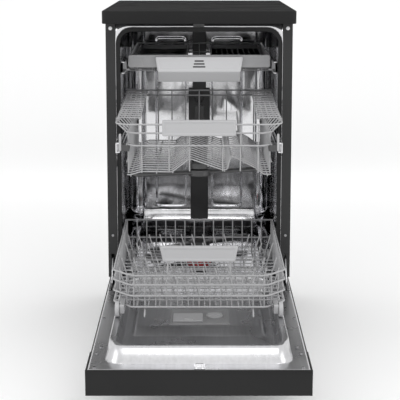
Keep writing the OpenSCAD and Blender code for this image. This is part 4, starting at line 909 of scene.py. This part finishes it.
# %% Pressed sheets as height maps
def lines(low, high, step, folds=(), reach=6.0, fine=1.0):
    """Grid lines every step, and closer ones around each fold where the sheet bends."""
    near = [np.arange(f - reach, f + reach + 0.1, fine) for f in folds]
    every = np.concatenate([np.arange(low, high, step), [high], *near])
    every = np.unique(every[(every >= low) & (every <= high)].round(3))
    keep = np.concatenate([[True], np.diff(every) > 0.35])
    return np.where(np.arange(len(every)) == len(every) - 1, high, every)[keep]


def smooth(value, low, high):
    """The smooth step 3t^2 - 2t^3 with t = (value - low) / (high - low) held between 0 and 1."""
    t = np.clip((value - low) / (high - low), 0, 1)
    return t * t * (3 - 2 * t)


def inside_field(x, y, centre, half, radius):
    """How far a point lies inside a rectangle with round corners (below 0 outside)."""
    dx = np.abs(x - centre[0]) - (half[0] - radius)
    dy = np.abs(y - centre[1]) - (half[1] - radius)
    return radius - np.hypot(np.maximum(dx, 0), np.maximum(dy, 0)) - np.minimum(np.maximum(dx, dy), 0)


def punch(points, quads, centre, radius):
    """Cuts a round hole: quads centred inside go, and the points on the cut move onto the circle."""
    offset = points[:, :2] - centre
    gone = np.hypot(*(points[quads].mean(1)[:, :2] - centre).T) < radius
    edge = np.intersect1d(quads[gone], quads[~gone])
    unit = offset[edge] / np.linalg.norm(offset[edge], axis=1, keepdims=True)
    points = points.copy()
    points[edge, :2] = np.asarray(centre) + unit * radius
    return points, quads[~gone]


print("lines from 0 to 10 with a fold at 5:", lines(0, 10, 5, (5,), 2))

# %% Tub's back wall and floor
# Back wall: its depth is the wall's less 1.5 mm inside each field and a dish of (1 - dx^2)(1 - dz^2).
# Floor: it falls towards the filter, climbs to the ledges at both sides and meets the back in a bend.
FIELD_X, FIELD_Z, FIELD_HALF = (-80, 78), 507, (43, 242)
FILTER_HOLE, ARM_HOLE, SALT_HOLE = ((0, 149.03), 45), ((0, 258), 20), ((-112, 205), 31)

x, z = np.meshgrid(lines(-158.5, 158.5, 9, (-123, -37, 35, 121), 7, 0.9),
                   lines(204, 771, 14, (265, 749), 7, 0.9))
emboss = np.zeros_like(x)
for cx in FIELD_X:
    dish = (np.clip(1 - ((x - cx) / FIELD_HALF[0]) ** 2, 0, 1)
            * np.clip(1 - ((z - FIELD_Z) / FIELD_HALF[1]) ** 2, 0, 1))
    emboss += smooth(inside_field(x, z, (cx, FIELD_Z), FIELD_HALF, 12), -1.5, 4) * 1.5 + dish
tub_parts.append(grid(np.stack([x, TUB_BACK - emboss, z], -1)))
y, x = np.meshgrid(lines(2.6, 531.6, 6, (90, 98, 500, 522), 10, 1.5),
                   lines(-TUB_HALF, TUB_HALF, 5, (-162, 162, 0), 8, 1.5))
pan = np.interp(y, [2, 84, 104], [214, 207.3, 200])
pan += 64 * (1 - np.sqrt(1 - (np.clip(y - 478, 0, 53.5) / 53.6) ** 2))
ledge = smooth(np.abs(x), 157.5, 163.5)
points, quads = grid(np.stack([x, y, pan + (LEDGE - pan) * ledge], -1))
for centre, radius in (FILTER_HOLE, ARM_HOLE, SALT_HOLE):
    points, quads = punch(points, quads, centre, radius)
tub_parts.append((points, quads))
MIDDLES = ((0, 200, 500), (0, 0, 500), (0, 250, 900))
for name, part, at in zip(("tub_wall", "tub_back", "tub_floor"), tub_parts, MIDDLES):
    piece(name, [part], "tub", toward=at, thick=0.6)

# %% [markdown]
# ## Door seal
# A rubber seal sits in the groove round the tub's mouth. Its section is the same all the way: a
# foot, a hollow and two soft lips. A bevelled curve would only give a round or flat section, so the
# section's points are carried along the arch as nested outlines, and both ends are closed.

# %% Door seal
PROFILE = np.array([(0.3, 17.6), (0, 12), (0.1, 4), (0.8, 2.9), (3, 2.7), (5, 3.4), (7.2, 2.9), (9.4, 3.4),
                    (10.4, 5), (10.3, 7.4), (9, 9.2), (6.6, 9.8), (5.6, 11), (5.2, 14), (4.4, 17), (2.4, 18)])
loops = np.stack([arch_row(TUB_HALF - u, CEILING - u, LEDGE - 0.5, BEND - u, y) for u, y in PROFILE], 1)
loops = np.concatenate([np.broadcast_to(loops[:1].mean(1, keepdims=True), loops[:1].shape), loops,
                        np.broadcast_to(loops[-1:].mean(1, keepdims=True), loops[:1].shape)])
piece("door_seal_loop", [grid(loops, around=True)], "door_seal")

# %% [markdown]
# ## Inner door
# The inner door is another pressing. A raised track carries the lower rack's rollers when the door
# lies open, a pocket between the tracks catches drips, and a raised field stiffens the pocket. It
# could be a plate with beads modelled on top, but a press leaves soft flanks everywhere, and a
# height map gives them. The sheet is cut out for the dispenser and for the two hinge arms.

# %% Door liner
# Height: rim + (track - rim) sin(pi/2 inside / flank), then a smooth step down to the pocket, then a
# smooth step up to the field, whose front end slopes. The track stays level as the door leans.
RIM_Z, RIDGE, POCKET, FIELD = -9.5, 10.5, -19.5, -11.5
TIP, TAIL, LINER_HALF = -608.5, 57.0, 215.5
DISPENSER_X, DISPENSER_Y = (-60, 62), (-335, -240)
ARM_X, ARM_HALF, ARM_Y = 209, 3, (-102, 18)
FIELD_SLOPE = (-392, -345)

x = lines(-LINER_HALF, LINER_HALF, 6, (-182, 182, -164, 164, -143, 143), 6, 1.0)
x = x[np.abs(np.abs(x) - ARM_X) > ARM_HALF + 0.4]
arm_edges = [side * ARM_X + edge for side in (-1, 1) for edge in (-ARM_HALF, ARM_HALF)]
x = np.unique(np.concatenate([x, DISPENSER_X, arm_edges]))
y = lines(TIP, TAIL, 6, (-572, -542, *FIELD_SLOPE, -72, -62, -18), 7, 1.2)
y = y[(np.abs(y - DISPENSER_Y[0]) > 0.8) & (np.abs(y - DISPENSER_Y[1]) > 0.8)]
y = np.unique(np.concatenate([y, DISPENSER_Y, ARM_Y]))
gx, gy = np.meshgrid(x, y)
track = (RIDGE - gy * np.sin(LEAN)) / np.cos(LEAN)
flank = np.interp(gy, [-560, -510, -60, -24], [27, 6.5, 6.5, 13])
rise = np.sin(0.5 * np.pi * np.clip(inside_field(gx, gy, (0, -295.25), (185.2, 281.25), 34) / flank, 0, 1))
height = RIM_Z + (track - RIM_Z) * rise
sink = smooth(inside_field(gx, gy, (0, -304.25), (167.2, 242.25), 34), -0.5, 9)
height += (POCKET - height) * sink
field = smooth(inside_field(gx, gy, (0, -230), (144, 162), 10), 0, 8) * np.interp(gy, FIELD_SLOPE, [0, 1])
height += (FIELD - POCKET) * field
points, quads = grid(np.stack([gx, gy, height], -1))
cx, cy = points[quads].mean(1)[:, :2].T
cut = (cx > DISPENSER_X[0]) & (cx < DISPENSER_X[1]) & (cy > DISPENSER_Y[0]) & (cy < DISPENSER_Y[1])
cut |= (np.abs(np.abs(cx) - ARM_X) < ARM_HALF) & (cy > ARM_Y[0]) & (cy < ARM_Y[1])
above = on_door(np.array([(0.0, -300, 400)]))[0]
piece("door_liner_sheet", [(points, quads[~cut])], "door_inner_liner", toward=above, thick=0.8, door=True,
      look="brushed")

# %% Door's skirts and fascia wings
skirts = mirrored([block((LINER_HALF - 0.9, TIP + 48.5, -60.5), (LINER_HALF, TAIL, -11.5), 0.3, "yz", 1)])
piece("door_liner_skirts", skirts, body="door", slot="steel", look="brushed", door=True)
wings = mirrored([block((215.7, TIP, -50), (219.9, -505, -9.7), 0.8, "yz", 3)])
wings.append(block((-219.9, TIP - 1, -16), (219.9, -607, -8.9), 0.4, "yz", 0.5))
piece("fascia_wings", wings, body="door", slot="black_plastic", door=True)


# %% [markdown]
# ## Spray arms
# A spray arm is a hollow moulding: two blades taper away from a hub, and each carries a row of
# jets. A scaled cylinder would have sharp flanks and blunt ends, so a ring of points narrows and
# thins along the blade, and a turned profile gives the hub.


# %% Two spray arms
def spray_arm(name, length, z, hub, angle, node):
    """Blade rings: (x, c(x) + w(x) cos a, z + 4.5 + 4.5 sin a), with squared cosines and sines; then a hub
    and jets. Each blade leans to one side: its two edges lie low(x) and high(x) from the middle line."""
    half = length / 2
    u = np.concatenate([[-half], -half + 3 * np.array([0.15, 0.5, 1.0]), np.linspace(6 - half, half - 6, 40),
                        half - 3 * np.array([1.0, 0.5, 0.15]), [half]])
    reach = np.abs(u)
    low = np.interp(reach, [0, half - 8, half], [20, 11, 4])
    high = np.interp(reach, [0, half - 8, half], [20, 14, 8])
    low, high = np.where(u > 0, low, high), np.where(u > 0, high, low)
    fade = np.sqrt(np.clip((half - reach) / 5, 0, 1))
    a = np.linspace(0, 2 * np.pi, 28, endpoint=False)
    cos = np.sign(np.cos(a)) * np.abs(np.cos(a)) ** 0.7
    sin = np.sign(np.sin(a)) * np.abs(np.sin(a)) ** 0.7
    width, centre = ((high + low) / 2 * fade)[:, None], ((high - low) / 2 * fade)[:, None]
    blade = np.stack([np.broadcast_to(u[:, None], (len(u), 28)), centre + width * cos,
                      z + 4.5 + 4.5 * (0.35 + 0.65 * fade)[:, None] * sin], -1)
    bore = 10.1
    ring = [(bore, z - 2.6), (bore + 0.4, z - 3), (27, z - 3), (28, z - 2), (28, z + 9), (26.5, z + 11),
            (22, z + 12), (bore + 0.6, z + 12), (bore, z + 11.4)]
    parts = [grid(blade, around=True), turned(ring, (0, 0, 0), 2, 48, closed=True)]
    for s in (-1, 1):
        for i in range(1, 6):
            at = (s * (20 + i * (half - 30) / 5.2), s * 2, 0)
            parts.append(turned([(1.4, z + 7.6), (1.4, z + 8.8), (2, z + 9.3), (3.4, z + 9.1), (4.2, z + 8.4),
                                 (4.2, z + 7.6)], at, 2, 20, closed=True))
    c, s = np.cos(np.radians(angle)), np.sin(np.radians(angle))
    spin = np.array([(c, s, 0), (-s, c, 0), (0, 0, 1)])
    piece(name, [(points @ spin + hub, quads) for points, quads in parts], node)


spray_arm("lower_spray_blades", 312, 220.5, (0, 258, 0), 32, "lower_spray_arm")
spray_arm("mid_spray_blades", 320, 459, (0, 6, 0), 14, "mid_spray_arm")

# %% [markdown]
# ## Finishing
# Nodes that keep their CAD shape get the same finishes. The machine's box is printed at the end.

# %% Finishes for the CAD nodes, sizes, and the end
for node, made in frame["nodes"].items():
    made.data.materials.clear()
    made.data.materials.append(FINISH[SLOT_OF[node]])
low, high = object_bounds()
print("looks fill", [round(v, 4) for v in high - low], "m")
